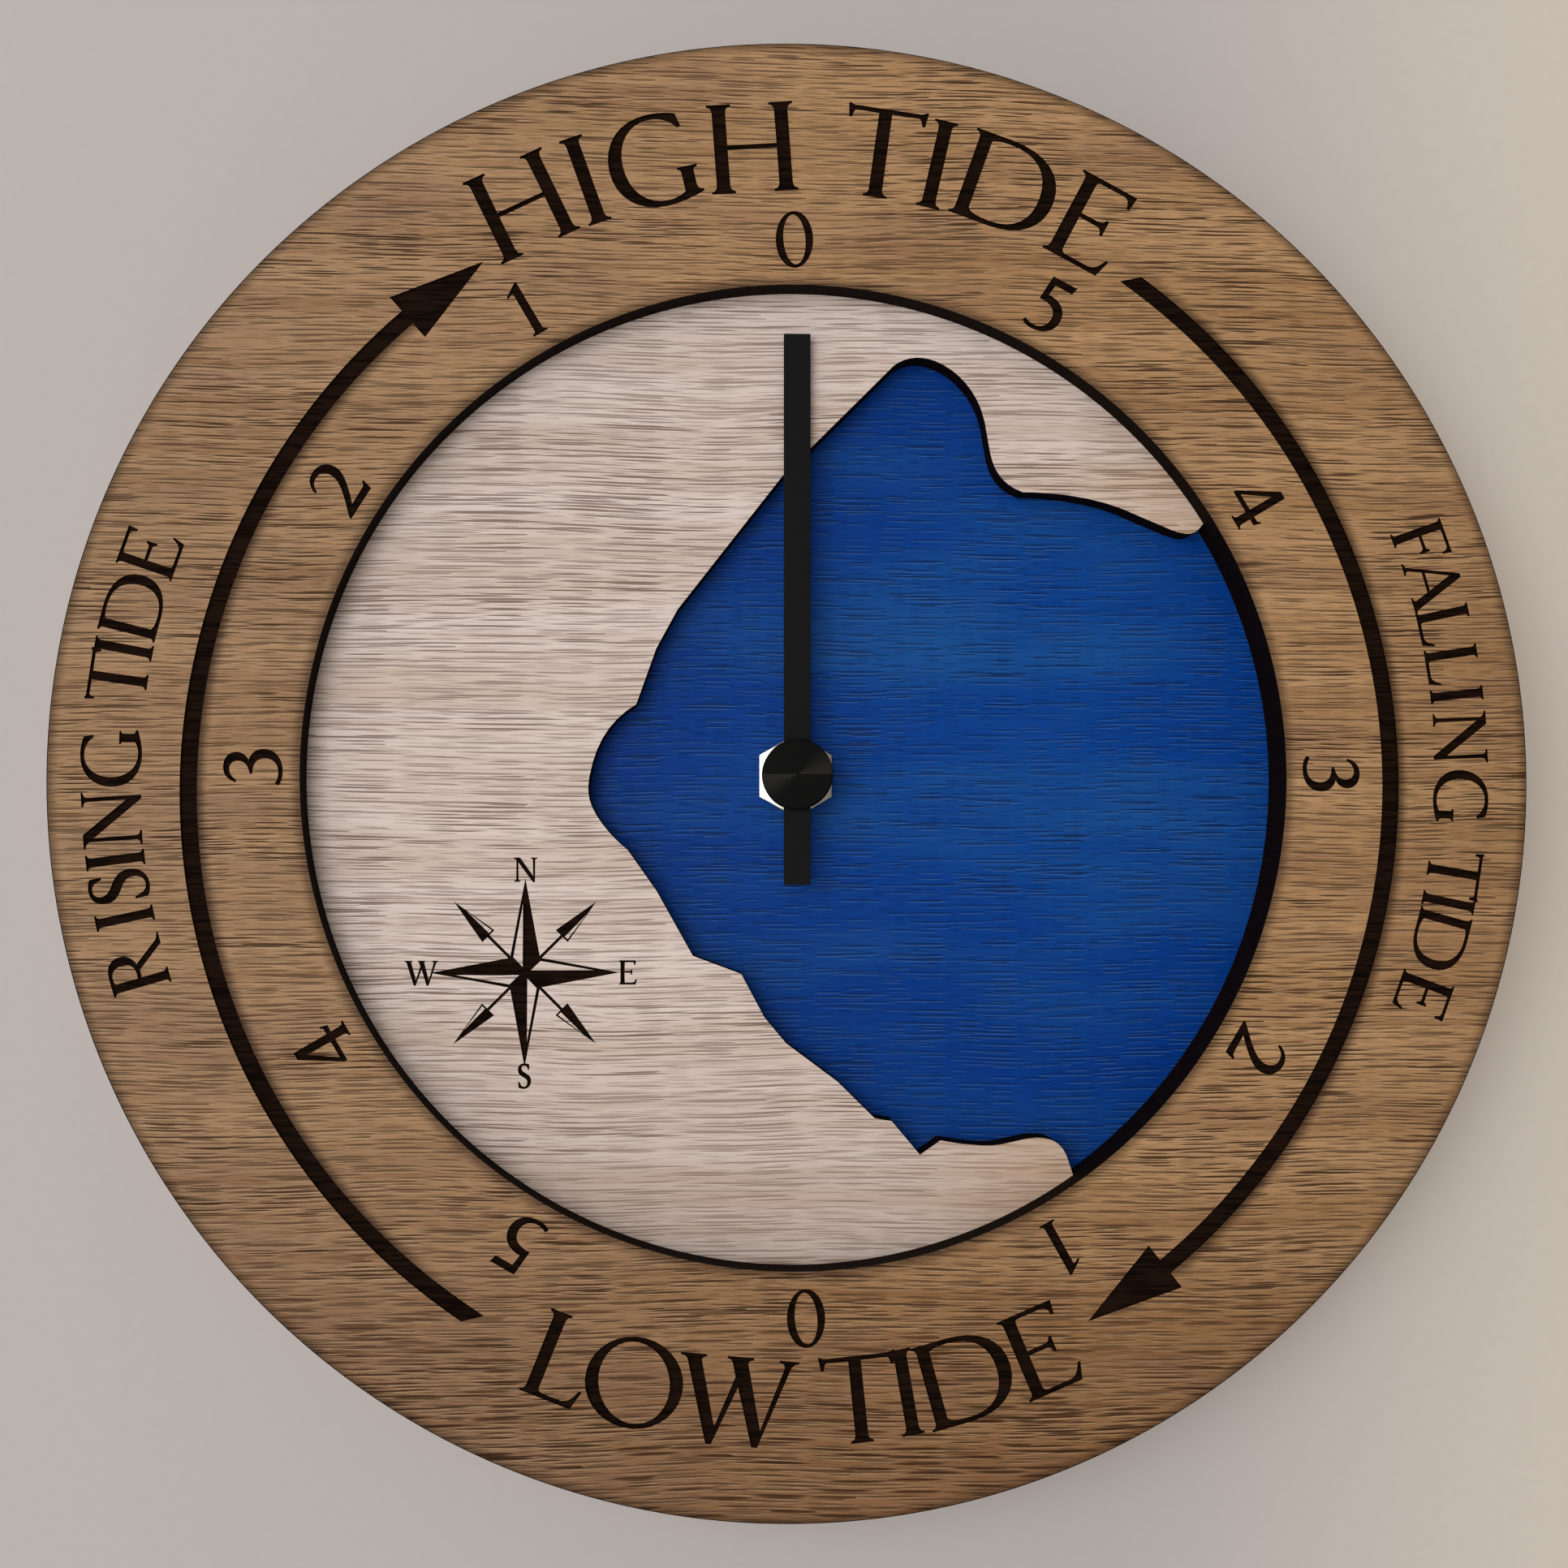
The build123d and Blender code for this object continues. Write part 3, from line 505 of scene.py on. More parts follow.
# Mesh helpers
def finish_piece(mesh, name, body, slot, materials, nodes=(), sharp=35):
    """Make a mesh an object of the clock, smooth across its gentle edges, and let it stand for CAD nodes."""
    bmesh.ops.recalc_face_normals(mesh, faces=mesh.faces)
    for face in mesh.faces:
        face.smooth = True
    for edge in mesh.edges:
        edge.smooth = len(edge.link_faces) == 2 and edge.calc_face_angle() < math.radians(sharp)
    data = bpy.data.meshes.new(name)
    mesh.to_mesh(data)
    mesh.free()
    for material in materials:
        data.materials.append(material)
    piece = bpy.data.objects.new(name, data)
    scene.collection.objects.link(piece)
    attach(piece, body)
    shade = piece.modifiers.new("even_shade", "WEIGHTED_NORMAL")
    shade.keep_sharp = True
    if nodes:
        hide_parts(*nodes)
    return piece


def merge(mesh):
    """Join the points that lie on each other."""
    bmesh.ops.remove_doubles(mesh, verts=mesh.verts, dist=0.001 * mm)


def widened(points, growth):
    """A closed trace moved outwards by a growth, or inwards where that is negative."""
    spread = []
    for before, point, after in zip(points[-1:] + points[:-1], points, points[1:] + points[:1]):
        along = (point - before).normalized() + (after - point).normalized()
        spread.append(point + Vector((along.y, -along.x)).normalized() * growth)
    return spread


def cut_triangles(rims, marks):
    """Triangles of a board's face: their points, those left plain and those inside a mark."""
    points = []
    loops = []
    owners = []
    for owner, outlines in enumerate([rims] + marks):
        for outline in outlines:
            trace = traced(outline)
            if owner:
                trace = widened(trace, burn_width if outline is outlines[0] else -burn_width)
            loops.append(range(len(points), len(points) + len(trace)))
            points += trace
            owners.append(owner)
    spots, _, triangles, _, _, sources = delaunay_2d_cdt(points, [], loops, TRIANGLES_INSIDE, fill_accuracy)
    plain = []
    sunk = []
    for triangle, around in zip(triangles, sources):
        counts = Counter(owners[loop] for loop in around)
        inside = {owner for owner, count in counts.items() if count % 2}
        if 0 in inside:
            (plain if inside == {0} else sunk).append(triangle)
    return spots, plain, sunk


def add_triangles(mesh, points, triangles, depth, slot):
    """Add a board's triangles at a depth and return the new faces."""
    used = {i: mesh.verts.new((points[i].x * mm, depth, points[i].y * mm)) for t in triangles for i in t}
    faces = [mesh.faces.new([used[i] for i in triangle]) for triangle in triangles]
    for face in faces:
        face.material_index = slot
    return faces


def open_edges(faces):
    """Edges that only one face has."""
    return [edge for edge in {edge for face in faces for edge in face.edges} if len(edge.link_faces) == 1]


def pull(mesh, edges, depth, growth, slot):
    """Draw open edges along Y into walls, the outer rim growing outwards, and return the new edges."""
    drawn = bmesh.ops.extrude_edge_only(mesh, edges=edges)["geom"]
    for part in drawn:
        if isinstance(part, bmesh.types.BMVert):
            reach = math.hypot(part.co.x, part.co.z)
            if reach > board_radius - mm:
                part.co.x *= (reach + growth) / reach
                part.co.z *= (reach + growth) / reach
            part.co.y += depth
        elif isinstance(part, bmesh.types.BMFace):
            part.material_index = slot
    return [part for part in drawn if isinstance(part, bmesh.types.BMEdge) and len(part.link_faces) == 1]


def board(name, node, slot, rims, marks, materials):
    """A laser-cut board: its face with the marks sunk into it, its eased rim and its back."""
    front = front_of(node)
    back = back_of(node)
    ease = edge_ease * mm
    mesh = bmesh.new()
    points, plain, sunk = cut_triangles(rims, marks)
    add_triangles(mesh, points, plain, front, FACE)
    floors = add_triangles(mesh, points, sunk, front + engraving_depth * mm, FLOOR)
    pull(mesh, open_edges(floors), -engraving_depth * mm, 0.0, WALL)
    merge(mesh)
    edge = pull(mesh, open_edges(mesh.faces), ease, ease, RIM)
    edge = pull(mesh, edge, back - front - 2 * ease, 0.0, RIM)
    pull(mesh, edge, ease, -ease, RIM)
    points, plain, _ = cut_triangles(rims, [])
    add_triangles(mesh, points, plain, back, BACK)
    merge(mesh)
    finish_piece(mesh, name, "clock", slot, materials, (node,))


def raised_marks(name, marks, base, finish):
    """Marks that stand up from a back face of the movement."""
    mesh = bmesh.new()
    border = bar(dial_middle, 2 * mark_border, 2 * mark_border)
    points, _, standing = cut_triangles([border], marks)
    add_triangles(mesh, points, standing, base + mark_height * mm, FACE)
    pull(mesh, open_edges(mesh.faces), -mark_height * mm, 0.0, FACE)
    finish_piece(mesh, name, "clock", "case_plastic", [finish])


def bay_outline():
    """The coast and the arc that closes it, read from the front of the land's CAD piece."""
    mesh = bmesh.new()
    mesh.from_mesh(frame["nodes"]["land_layer"].data)
    merge(mesh)
    front = front_of("land_layer")
    face = {f for f in mesh.faces if all(abs(v.co.y - front) < 0.01 * mm for v in f.verts)}
    edges = [e for e in mesh.edges if sum(f in face for f in e.link_faces) == 1]
    steps = {}
    for edge in edges:
        if math.hypot(*edge.verts[0].co.xz) < ring_inner_radius + mm:
            for vert in edge.verts:
                steps.setdefault(vert, []).append(edge.other_vert(vert))
    walk = [next(iter(steps))]
    while len(walk) < len(steps):
        walk.append(next(v for v in steps[walk[-1]] if v not in walk[-2:]))
    outline = []
    for vert in walk:
        point = vert.co.xz / mm
        tucked = point.length > ring_inner_radius / mm - land_tuck
        outline.append(point * (1 + land_tuck / point.length) if tucked else point.copy())
    mesh.free()
    return straight(outline)


def softened(name, node, body, slot, finish, width, sharp=30):
    """A copy of a CAD piece with its sharp edges rounded over."""
    mesh = bmesh.new()
    mesh.from_mesh(frame["nodes"][node].data)
    merge(mesh)
    bmesh.ops.dissolve_limit(mesh, angle_limit=math.radians(1), verts=mesh.verts, edges=mesh.edges)
    edges = [e for e in mesh.edges if len(e.link_faces) == 2 and e.calc_face_angle() > math.radians(sharp)]
    bmesh.ops.bevel(
        mesh,
        geom=edges,
        offset=width * mm,
        affect="EDGES",
        segments=2,
        profile=0.5,
        material=-1,
        clamp_overlap=True,
    )
    return finish_piece(mesh, name, body, slot, [finish], (node,))


def revolved(profile):
    """A mesh turned about the dial's axis from a profile of radii and Y places."""
    mesh = bmesh.new()
    spots = [mesh.verts.new((0.0, y, radius)) for radius, y in profile]
    edges = [mesh.edges.new(pair) for pair in zip(spots, spots[1:])]
    bmesh.ops.spin(
        mesh, geom=spots + edges, axis=(0.0, 1.0, 0.0), angle=math.tau, steps=round_steps, use_merge=True
    )
    merge(mesh)
    return mesh


def chamfered_nut(finish):
    """Hexagon nut, turned at both ends so that its corners fall away in curves."""
    low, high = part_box("hex_nut")
    half_flat = (high.x - low.x) / 2
    bore = bore_of("hex_nut")
    turned = half_flat * nut_turned_share
    front = [(reach, low.y) for reach in (bore, turned, half_flat)]
    back = [(reach, high.y) for reach in (half_flat, turned, bore)]
    mesh = revolved(front + back + front[:1])
    for vert in mesh.verts:
        reach = math.hypot(vert.co.x, vert.co.z)
        if reach > (turned + half_flat) / 2:
            from_flat = math.atan2(vert.co.x, vert.co.z) % math.radians(60) - math.radians(30)
            corner = half_flat / math.cos(from_flat)
            fall = (corner - turned) * math.tan(math.radians(nut_chamfer))
            vert.co.x *= corner / reach
            vert.co.z *= corner / reach
            vert.co.y += fall if vert.co.y < (low.y + high.y) / 2 else -fall
    finish_piece(mesh, "bright_nut", "clock", "nickel", [finish], ("hex_nut",), sharp=20)


def turned_cap(finish):
    """Round cap over the hand's centre: a nearly flat face, a rounded rim and a straight side."""
    low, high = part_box("hub_cap")
    face = low.y + cap_dome * mm
    rounding = cap_rounding * mm
    inset = cap_radius * mm - rounding
    profile = [(0.0, low.y), (inset, face)]
    for i in range(1, cap_steps + 1):
        turn = math.radians(90 * i / cap_steps)
        profile.append((inset + rounding * math.sin(turn), face + rounding * (1 - math.cos(turn))))
    profile += [(cap_radius * mm, high.y), (0.0, high.y)]
    finish_piece(revolved(profile), "hub_cap_turned", "hand", "black_metal", [finish], ("hub_cap",))


# Material helpers
def linear(hex_colour):
    """An sRGB hex colour as linear RGBA."""
    shares = [int(hex_colour[i:i + 2], 16) / 255 for i in (1, 3, 5)]
    return [s / 12.92 if s <= 0.04045 else ((s + 0.055) / 1.055) ** 2.4 for s in shares] + [1.0]


def add_node(tree, kind, inputs=None, output=0, **settings):
    """Add a node with its settings, set or link its inputs, and return one of its outputs."""
    node = tree.nodes.new(kind)
    for key, value in settings.items():
        setattr(node, key, value)
    for key, value in (inputs or {}).items():
        if isinstance(value, bpy.types.NodeSocket):
            tree.links.new(value, node.inputs[key])
        else:
            node.inputs[key].default_value = value
    return node.outputs[output]


def new_material(name, values):
    """A material with one shader, whose constant values are on its own sockets, and its node tree."""
    material = bpy.data.materials.new(name)
    material.use_nodes = True
    tree = material.node_tree
    for key, value in values.items():
        tree.nodes["Principled BSDF"].inputs[key].default_value = value
    return material, tree


def surfaced(material, colour, height, depth, strength, sunk=False):
    """Give a material its colour and its relief, which stands up or is sunk by a depth in millimetres."""
    tree = material.node_tree
    shader = tree.nodes["Principled BSDF"]
    relief = add_node(
        tree, "ShaderNodeBump", {"Height": height, "Distance": depth * mm, "Strength": strength}, invert=sunk
    )
    tree.links.new(colour, shader.inputs["Base Color"])
    tree.links.new(relief, shader.inputs["Normal"])
    return material


def stained(tree, colour, stain, mask, share=1.0):
    """A colour with a share of a stain laid over it where a mask is full."""
    strength = add_node(tree, "ShaderNodeMath", {0: mask, 1: share}, operation="MULTIPLY")
    return add_node(tree, "ShaderNodeMix", {0: strength, 6: colour, 7: linear(stain)}, 2, data_type="RGBA")


def spotted(tree, sizes, detail):
    """Noise whose spots have a size along each axis, in millimetres."""
    place = add_node(tree, "ShaderNodeTexCoord", output="Object")
    scale = [1 / (size * mm) for size in sizes]
    drawn = add_node(tree, "ShaderNodeMapping", {"Vector": place, "Scale": scale})
    return add_node(tree, "ShaderNodeTexNoise", {"Vector": drawn, "Scale": 1.0, "Detail": detail}, "Fac")


def place_mask(tree, axis, clear, full):
    """A mask that rises from one place along an axis to another, in millimetres."""
    place = add_node(tree, "ShaderNodeTexCoord", output="Object")
    along = add_node(tree, "ShaderNodeSeparateXYZ", {0: place}, axis)
    return add_node(
        tree, "ShaderNodeMapRange", {0: along, 1: clear * mm, 2: full * mm}, interpolation_type="SMOOTHSTEP"
    )


def radius_mask(tree, centre, clear, full):
    """A mask that rises from one radius about a point of the dial to another, in millimetres."""
    place = add_node(tree, "ShaderNodeTexCoord", output="Object")
    flat = add_node(tree, "ShaderNodeVectorMath", {0: place, 1: (1.0, 0.0, 1.0)}, operation="MULTIPLY")
    middle = (centre.x * mm, 0.0, centre.y * mm)
    reach = add_node(tree, "ShaderNodeVectorMath", {0: flat, 1: middle}, "Value", operation="DISTANCE")
    return add_node(
        tree, "ShaderNodeMapRange", {0: reach, 1: clear * mm, 2: full * mm}, interpolation_type="SMOOTHSTEP"
    )


def grain_cells(tree, length, gap, shift, drop):
    """Places on the dial in cells along the grain, with their length, gap and drop in millimetres."""
    place = add_node(tree, "ShaderNodeTexCoord", output="Object")
    waves = {"Vector": place, "Scale": 1 / (sway_length * mm), "Detail": 1.0}
    sway = add_node(tree, "ShaderNodeTexNoise", waves, "Color")
    lift = (0.0, 0.0, grain_sway * mm)
    bend = add_node(tree, "ShaderNodeVectorMath", {0: sway, 1: lift}, operation="MULTIPLY")
    swayed = add_node(tree, "ShaderNodeVectorMath", {0: place, 1: bend}, operation="ADD")
    return add_node(
        tree,
        "ShaderNodeMapping",
        {
            "Vector": swayed,
            "Location": (shift, shift + drop / gap, shift),
            "Rotation": (math.radians(-90), 0.0, 0.0),
            "Scale": (1 / (length * mm), 1 / (gap * mm), 1 / (gap * mm)),
        },
    )


def streaks(tree, length, gap, low, high, shift=0.0):
    """A mask of soft streaks along the grain, which take their noise from low to high.

    Their length and gap are in millimetres, and a shift gives another piece of the same pattern.
    """
    cells = grain_cells(tree, length, gap, shift, 0.0)
    noise = {"Vector": cells, "Scale": 1.0, "Detail": 2.0, "Roughness": 0.55}
    fibres = add_node(tree, "ShaderNodeTexNoise", noise, "Fac")
    return add_node(tree, "ShaderNodeMapRange", {0: fibres, 1: low, 2: high}, interpolation_type="SMOOTHSTEP")


def dashes(tree, length, gap, width, rarity, shift=0.0, drop=0.0):
    """A mask of thin tapered dashes along the grain, one in each cell and some fainter than others.

    Their length, gap, width and drop are in millimetres, and rarity is the share that is left out.
    """
    cells = grain_cells(tree, length, gap, shift, drop)
    spot = add_node(
        tree, "ShaderNodeTexVoronoi", {"Vector": cells, "Scale": 1.0}, "Position", voronoi_dimensions="2D"
    )
    away = add_node(tree, "ShaderNodeVectorMath", {0: cells, 1: spot}, operation="SUBTRACT")
    squeeze = (2.0, 2 * gap / width, 0.0)
    drawn = add_node(tree, "ShaderNodeVectorMath", {0: away, 1: squeeze}, operation="MULTIPLY")
    reach = add_node(tree, "ShaderNodeVectorMath", {0: drawn}, "Value", operation="LENGTH")
    taper = add_node(
        tree, "ShaderNodeMapRange", {0: reach, 1: 1.0, 2: dash_core}, interpolation_type="SMOOTHSTEP"
    )
    chance = add_node(tree, "ShaderNodeSeparateXYZ", {0: spot.node.outputs["Color"]}, "X")
    strength = add_node(
        tree,
        "ShaderNodeMapRange",
        {0: chance, 1: rarity, 2: rarity + dash_spread},
        interpolation_type="SMOOTHSTEP",
    )
    return add_node(tree, "ShaderNodeMath", {0: taper, 1: strength}, operation="MULTIPLY")


# Finishes of the boards
def veneer_pores(tree, length, rarity, shift):
    """Masks of a veneer's open pores: the pores, the darker wood about them and painted highlights on the
    lips under them.
    """
    rows = []
    for drop in (0.0, painted_highlight_drop):
        long = dashes(tree, length, 1.1, 0.48, rarity, shift, drop)
        short = dashes(tree, 0.5 * length, 0.8, 0.38, rarity + 0.1, shift + 5.0, drop)
        rows.append(add_node(tree, "ShaderNodeMath", {0: long, 1: short}, operation="MAXIMUM"))
    fine = dashes(tree, 0.25 * length, 0.5, 0.22, rarity, shift + 9.0)
    faint = add_node(tree, "ShaderNodeMath", {0: fine, 1: fine_share}, operation="MULTIPLY")
    rows[0] = add_node(tree, "ShaderNodeMath", {0: rows[0], 1: faint}, operation="MAXIMUM")
    patches = streaks(tree, 2 * length, 7.0, 0.36, 0.58, shift + 17.0)
    crowd = add_node(tree, "ShaderNodeMath", {0: patches, 1: crowd_least}, operation="MAXIMUM")
    pores, painted_lip_highlights = [add_node(tree, "ShaderNodeMath", {0: row, 1: crowd}, operation="MULTIPLY") for row in rows]
    darker = streaks(tree, 4 * length, 2.0, 0.45, 0.75, shift + 13.0)
    return pores, darker, painted_lip_highlights


def veneer_colour(tree, colour, masks, pore, around, highlight_stain):
    """A veneer's colour with its pores, the darker wood about them and their painted lip highlights drawn in,
    each as a stain and a share.
    """
    pores, darker, painted_lip_highlights = masks
    for mask, (stain, share) in ((darker, around), (painted_lip_highlights, highlight_stain), (pores, pore)):
        colour = stained(tree, colour, stain, mask, share)
    return colour


def oak_veneer():
    """Oiled oak veneer: tan, with open pores that show as dark dashes and soft bands of darker growth."""
    material, tree = new_material("oak_veneer", {"Roughness": 0.6, "Specular IOR Level": 0.08})
    masks = veneer_pores(tree, 19.0, 0.1, 7.0)
    colour = stained(tree, linear("#ba936a"), "#ac855c", streaks(tree, 160, 9, 0.36, 0.66))
    colour = stained(tree, colour, "#8f6b53", streaks(tree, 50, 12, 0.48, 0.7, 5.0), 0.5)
    colour = stained(tree, colour, "#82603f", streaks(tree, 40, 0.5, 0.3, 0.75, 3.0), 0.35)
    low_part = place_mask(tree, "Z", -60.0, -140.0)
    colour = stained(tree, colour, "#6b4629", low_part, 0.6)
    colour = stained(tree, colour, "#8d7766", place_mask(tree, "X", 60.0, -130.0), 0.35)
    colour = stained(tree, colour, "#6b4629", place_mask(tree, "X", 105.0, 150.0), 0.25)
    # Its last stain, #d3b48e, is a painted highlight on the lip under each pore.
    colour = veneer_colour(tree, colour, masks, (pore_brown, 0.92), ("#744c2e", 0.45), ("#d3b48e", 0.3))
    heavy = dashes(tree, 14.0, 1.7, 0.75, 0.2, 31.0)
    heavy_low = add_node(tree, "ShaderNodeMath", {0: heavy, 1: low_part}, operation="MULTIPLY")
    colour = stained(tree, colour, pore_brown, heavy_low, 0.85)
    for arc in arcs:
        side = arc["smoke_side"]
        edge = arc["radius"] + side * arc_width / 2
        haze = place_mask(tree, "X", 60.0 * side, 85.0 * side)
        for clear in (edge + side * smoke_width, edge - side * arc_width):
            near = radius_mask(tree, arc["centre"], clear, edge)
            haze = add_node(tree, "ShaderNodeMath", {0: haze, 1: near}, operation="MULTIPLY")
        colour = stained(tree, colour, soot, haze, 0.8)
    rim = board_radius / mm
    opening = ring_inner_radius / mm
    for clear, full in ((rim - smoke_width, rim), (opening + smoke_width, opening)):
        colour = stained(tree, colour, soot, radius_mask(tree, dial_middle, clear, full), 0.6)
    return surfaced(material, colour, masks[0], 0.15, 0.4, sunk=True)


def washed_veneer():
    """Oak veneer under a thin white wash: pale and pinkish, with the pores still brown."""
    material, tree = new_material("washed_veneer", {"Roughness": 0.6, "Specular IOR Level": 0.08})
    masks = veneer_pores(tree, 28.0, 0.15, 27.0)
    colour = stained(tree, linear("#e0d2cb"), "#d6c4b9", streaks(tree, 160, 10, 0.36, 0.66, 21.0))
    colour = stained(tree, colour, "#b9a395", streaks(tree, 40, 0.5, 0.3, 0.75, 23.0), 0.25)
    # Its last stain, #efe5de, is a painted highlight on the lip under each pore.
    colour = veneer_colour(tree, colour, masks, ("#552e16", 0.75), ("#b3947f", 0.35), ("#efe5de", 0.35))
    colour = stained(tree, colour, "#8f7460", place_mask(tree, "Z", -40.0, -105.0), 0.32)
    for place in scorched_places:
        colour = stained(tree, colour, "#b98f5c", radius_mask(tree, place, scorch_reach, 0.0), 0.4)
    return surfaced(material, colour, masks[0], 0.2, 0.4, sunk=True)


def blue_paint():
    """Satin blue paint brushed thin over veneer: the pores still show as dark dents, with a painted highlight
    on the lip under each.
    """
    material, tree = new_material("blue_paint", {"Roughness": 0.38, "Specular IOR Level": 0.05})
    masks = veneer_pores(tree, 15.0, 0.35, 47.0)
    # Broad lighter blue bands: uneven paint, and in part a painted sheen.
    colour = stained(tree, linear("#063f90"), "#164f95", streaks(tree, 70, 22, 0.38, 0.66, 41.0))
    # Painted light and shade: the sea is painted darker from 15 mm to 85 mm away from one point, for the
    # light on it and the shade along the coast.
    colour = stained(tree, colour, "#002f7f", radius_mask(tree, sea_painted_light_centre, 15.0, 85.0), 0.6)
    # Its last stain, #4f82c4, is a painted highlight on the lip under each pore.
    colour = veneer_colour(tree, colour, masks, ("#031c4c", 0.8), ("#06347a", 0.3), ("#4f82c4", 0.3))
    return surfaced(material, colour, masks[0], 0.25, 0.5, sunk=True)


def charred_floor():
    """Laser-engraved oak: burnt dark brown and matt, with the grain just showing."""
    material, tree = new_material("charred_floor", {"Roughness": 0.8, "Specular IOR Level": 0.03})
    fibres = streaks(tree, 8, 0.6, 0.4, 0.65, 53.0)
    colour = stained(tree, linear("#1f120b"), "#0e0704", fibres)
    return surfaced(material, colour, fibres, 0.1, 0.6)


def charred_edge():
    """Laser-cut board edge: burnt black-brown, matt, with fine streaks across the thickness."""
    material, tree = new_material("charred_edge", {"Roughness": 0.75, "Specular IOR Level": 0.03})
    lines = spotted(tree, (0.5, 25.0, 0.5), 3.0)
    colour = stained(tree, linear("#060404"), "#1c120c", lines)
    return surfaced(material, colour, lines, 0.15, 0.5)


def board_back():
    """Back of the lowest board: plain unsanded poplar veneer, pale brown and dry."""
    material, tree = new_material("board_back", {"Roughness": 0.8, "IOR": 1.4})
    pores = streaks(tree, 20, 0.6, 0.58, 0.7, 67.0)
    colour = stained(tree, linear("#c2a27b"), "#b08f67", streaks(tree, 90, 6, 0.35, 0.65, 61.0))
    colour = stained(tree, colour, "#7d5f41", pores, 0.5)
    return surfaced(material, colour, pores, 0.1, 0.4)


# Finishes of the hand and the movement
def moulded(name, colour, shade, roughness, grit):
    """Injection-moulded plastic: an even colour with a fine spark-eroded grain, grit in millimetres."""
    material, tree = new_material(name, {"Roughness": roughness, "IOR": 1.49})
    tint = stained(tree, linear(colour), shade, spotted(tree, [mottle_size] * 3, 1.0))
    return surfaced(material, tint, spotted(tree, [grit] * 3, 2.0), 0.05, 0.35)


def metal(name, colour, shade, roughness, line):
    """Bare or plated metal: bright, with fine tooling lines that break up its reflections."""
    material, tree = new_material(name, {"Metallic": 1.0, "Roughness": roughness})
    lines = spotted(tree, (mottle_size, mottle_size, line), 2.0)
    return surfaced(material, stained(tree, linear(colour), shade, lines), lines, 0.02, 0.3)


def black_lacquer():
    """Stamped aluminium under satin black lacquer: nearly black, with a soft even sheen."""
    material, tree = new_material("black_lacquer", {"Roughness": 0.5, "Specular IOR Level": 0.05})
    ripple = spotted(tree, [lacquer_grit] * 3, 2.0)
    return surfaced(material, stained(tree, linear("#101113"), "#151618", ripple), ripple, 0.02, 0.25)


def spun_black():
    """Turned cap, blackened: fine rings round its middle, with two faint lighter wedges painted in as a
    painted sheen.
    """
    material, tree = new_material("spun_black", {"Roughness": 0.5, "Specular IOR Level": 0.05})
    place = add_node(tree, "ShaderNodeTexCoord", output="Object")
    rings = add_node(
        tree,
        "ShaderNodeTexWave",
        {"Vector": place, "Scale": wave_period / (cap_ring_gap * mm), "Distortion": 0.4, "Detail": 2.0},
        "Fac",
        wave_type="RINGS",
        rings_direction="Y",
    )
    facing = add_node(tree, "ShaderNodeMapping", {"Vector": place, "Rotation": (math.radians(90), 0.0, 0.0)})
    turn = add_node(tree, "ShaderNodeTexGradient", {"Vector": facing}, "Fac", gradient_type="RADIAL")
    doubled = add_node(tree, "ShaderNodeMath", {0: turn, 1: 2.0}, operation="MULTIPLY")
    sector = add_node(tree, "ShaderNodeMath", {0: doubled}, operation="FRACT")
    painted_sheen_wedges = add_node(
        tree, "ShaderNodeMapRange", {0: sector, 1: 0.68, 2: 0.99}, interpolation_type="SMOOTHSTEP"
    )
    tint = stained(tree, linear("#070707"), "#0c0c0c", rings)
    # Painted sheen: two opposite sectors of the cap are painted lighter, for the light its turned rings would
    # draw into wedges.
    tint = stained(tree, tint, "#242423", painted_sheen_wedges)
    return surfaced(material, tint, rings, 0.04, 0.4)


def threaded_brass():
    """Turned brass with a cut thread: warm yellow, with painted shade darkening the roots of the thread."""
    material, tree = new_material("threaded_brass", {"Metallic": 1.0, "Roughness": 0.3})
    place = add_node(tree, "ShaderNodeTexCoord", output="Object")
    turns = {"Vector": place, "Scale": wave_period / (thread_pitch * mm)}
    thread = add_node(tree, "ShaderNodeTexWave", turns, "Fac", bands_direction="Y")
    # Painted shade: the roots of the thread are painted dark brown, the crests warm yellow.
    tint = stained(tree, linear("#7d5f2a"), "#cfab62", thread)
    return surfaced(material, tint, thread, 0.3, 0.8)


def cell_sleeve():
    """Shrink sleeve of a battery cell: glossy graphite film with a plain pale band at the plus end."""
    material, tree = new_material("cell_sleeve", {"Roughness": 0.3, "IOR": 1.5})
    band_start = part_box("battery_cell")[1].x / mm - cell_band
    band = place_mask(tree, "X", band_start - 0.1, band_start)
    tint = stained(tree, linear("#3a4048"), "#c9c6bd", band)
    tree.links.new(tint, tree.nodes["Principled BSDF"].inputs["Base Color"])
    return material


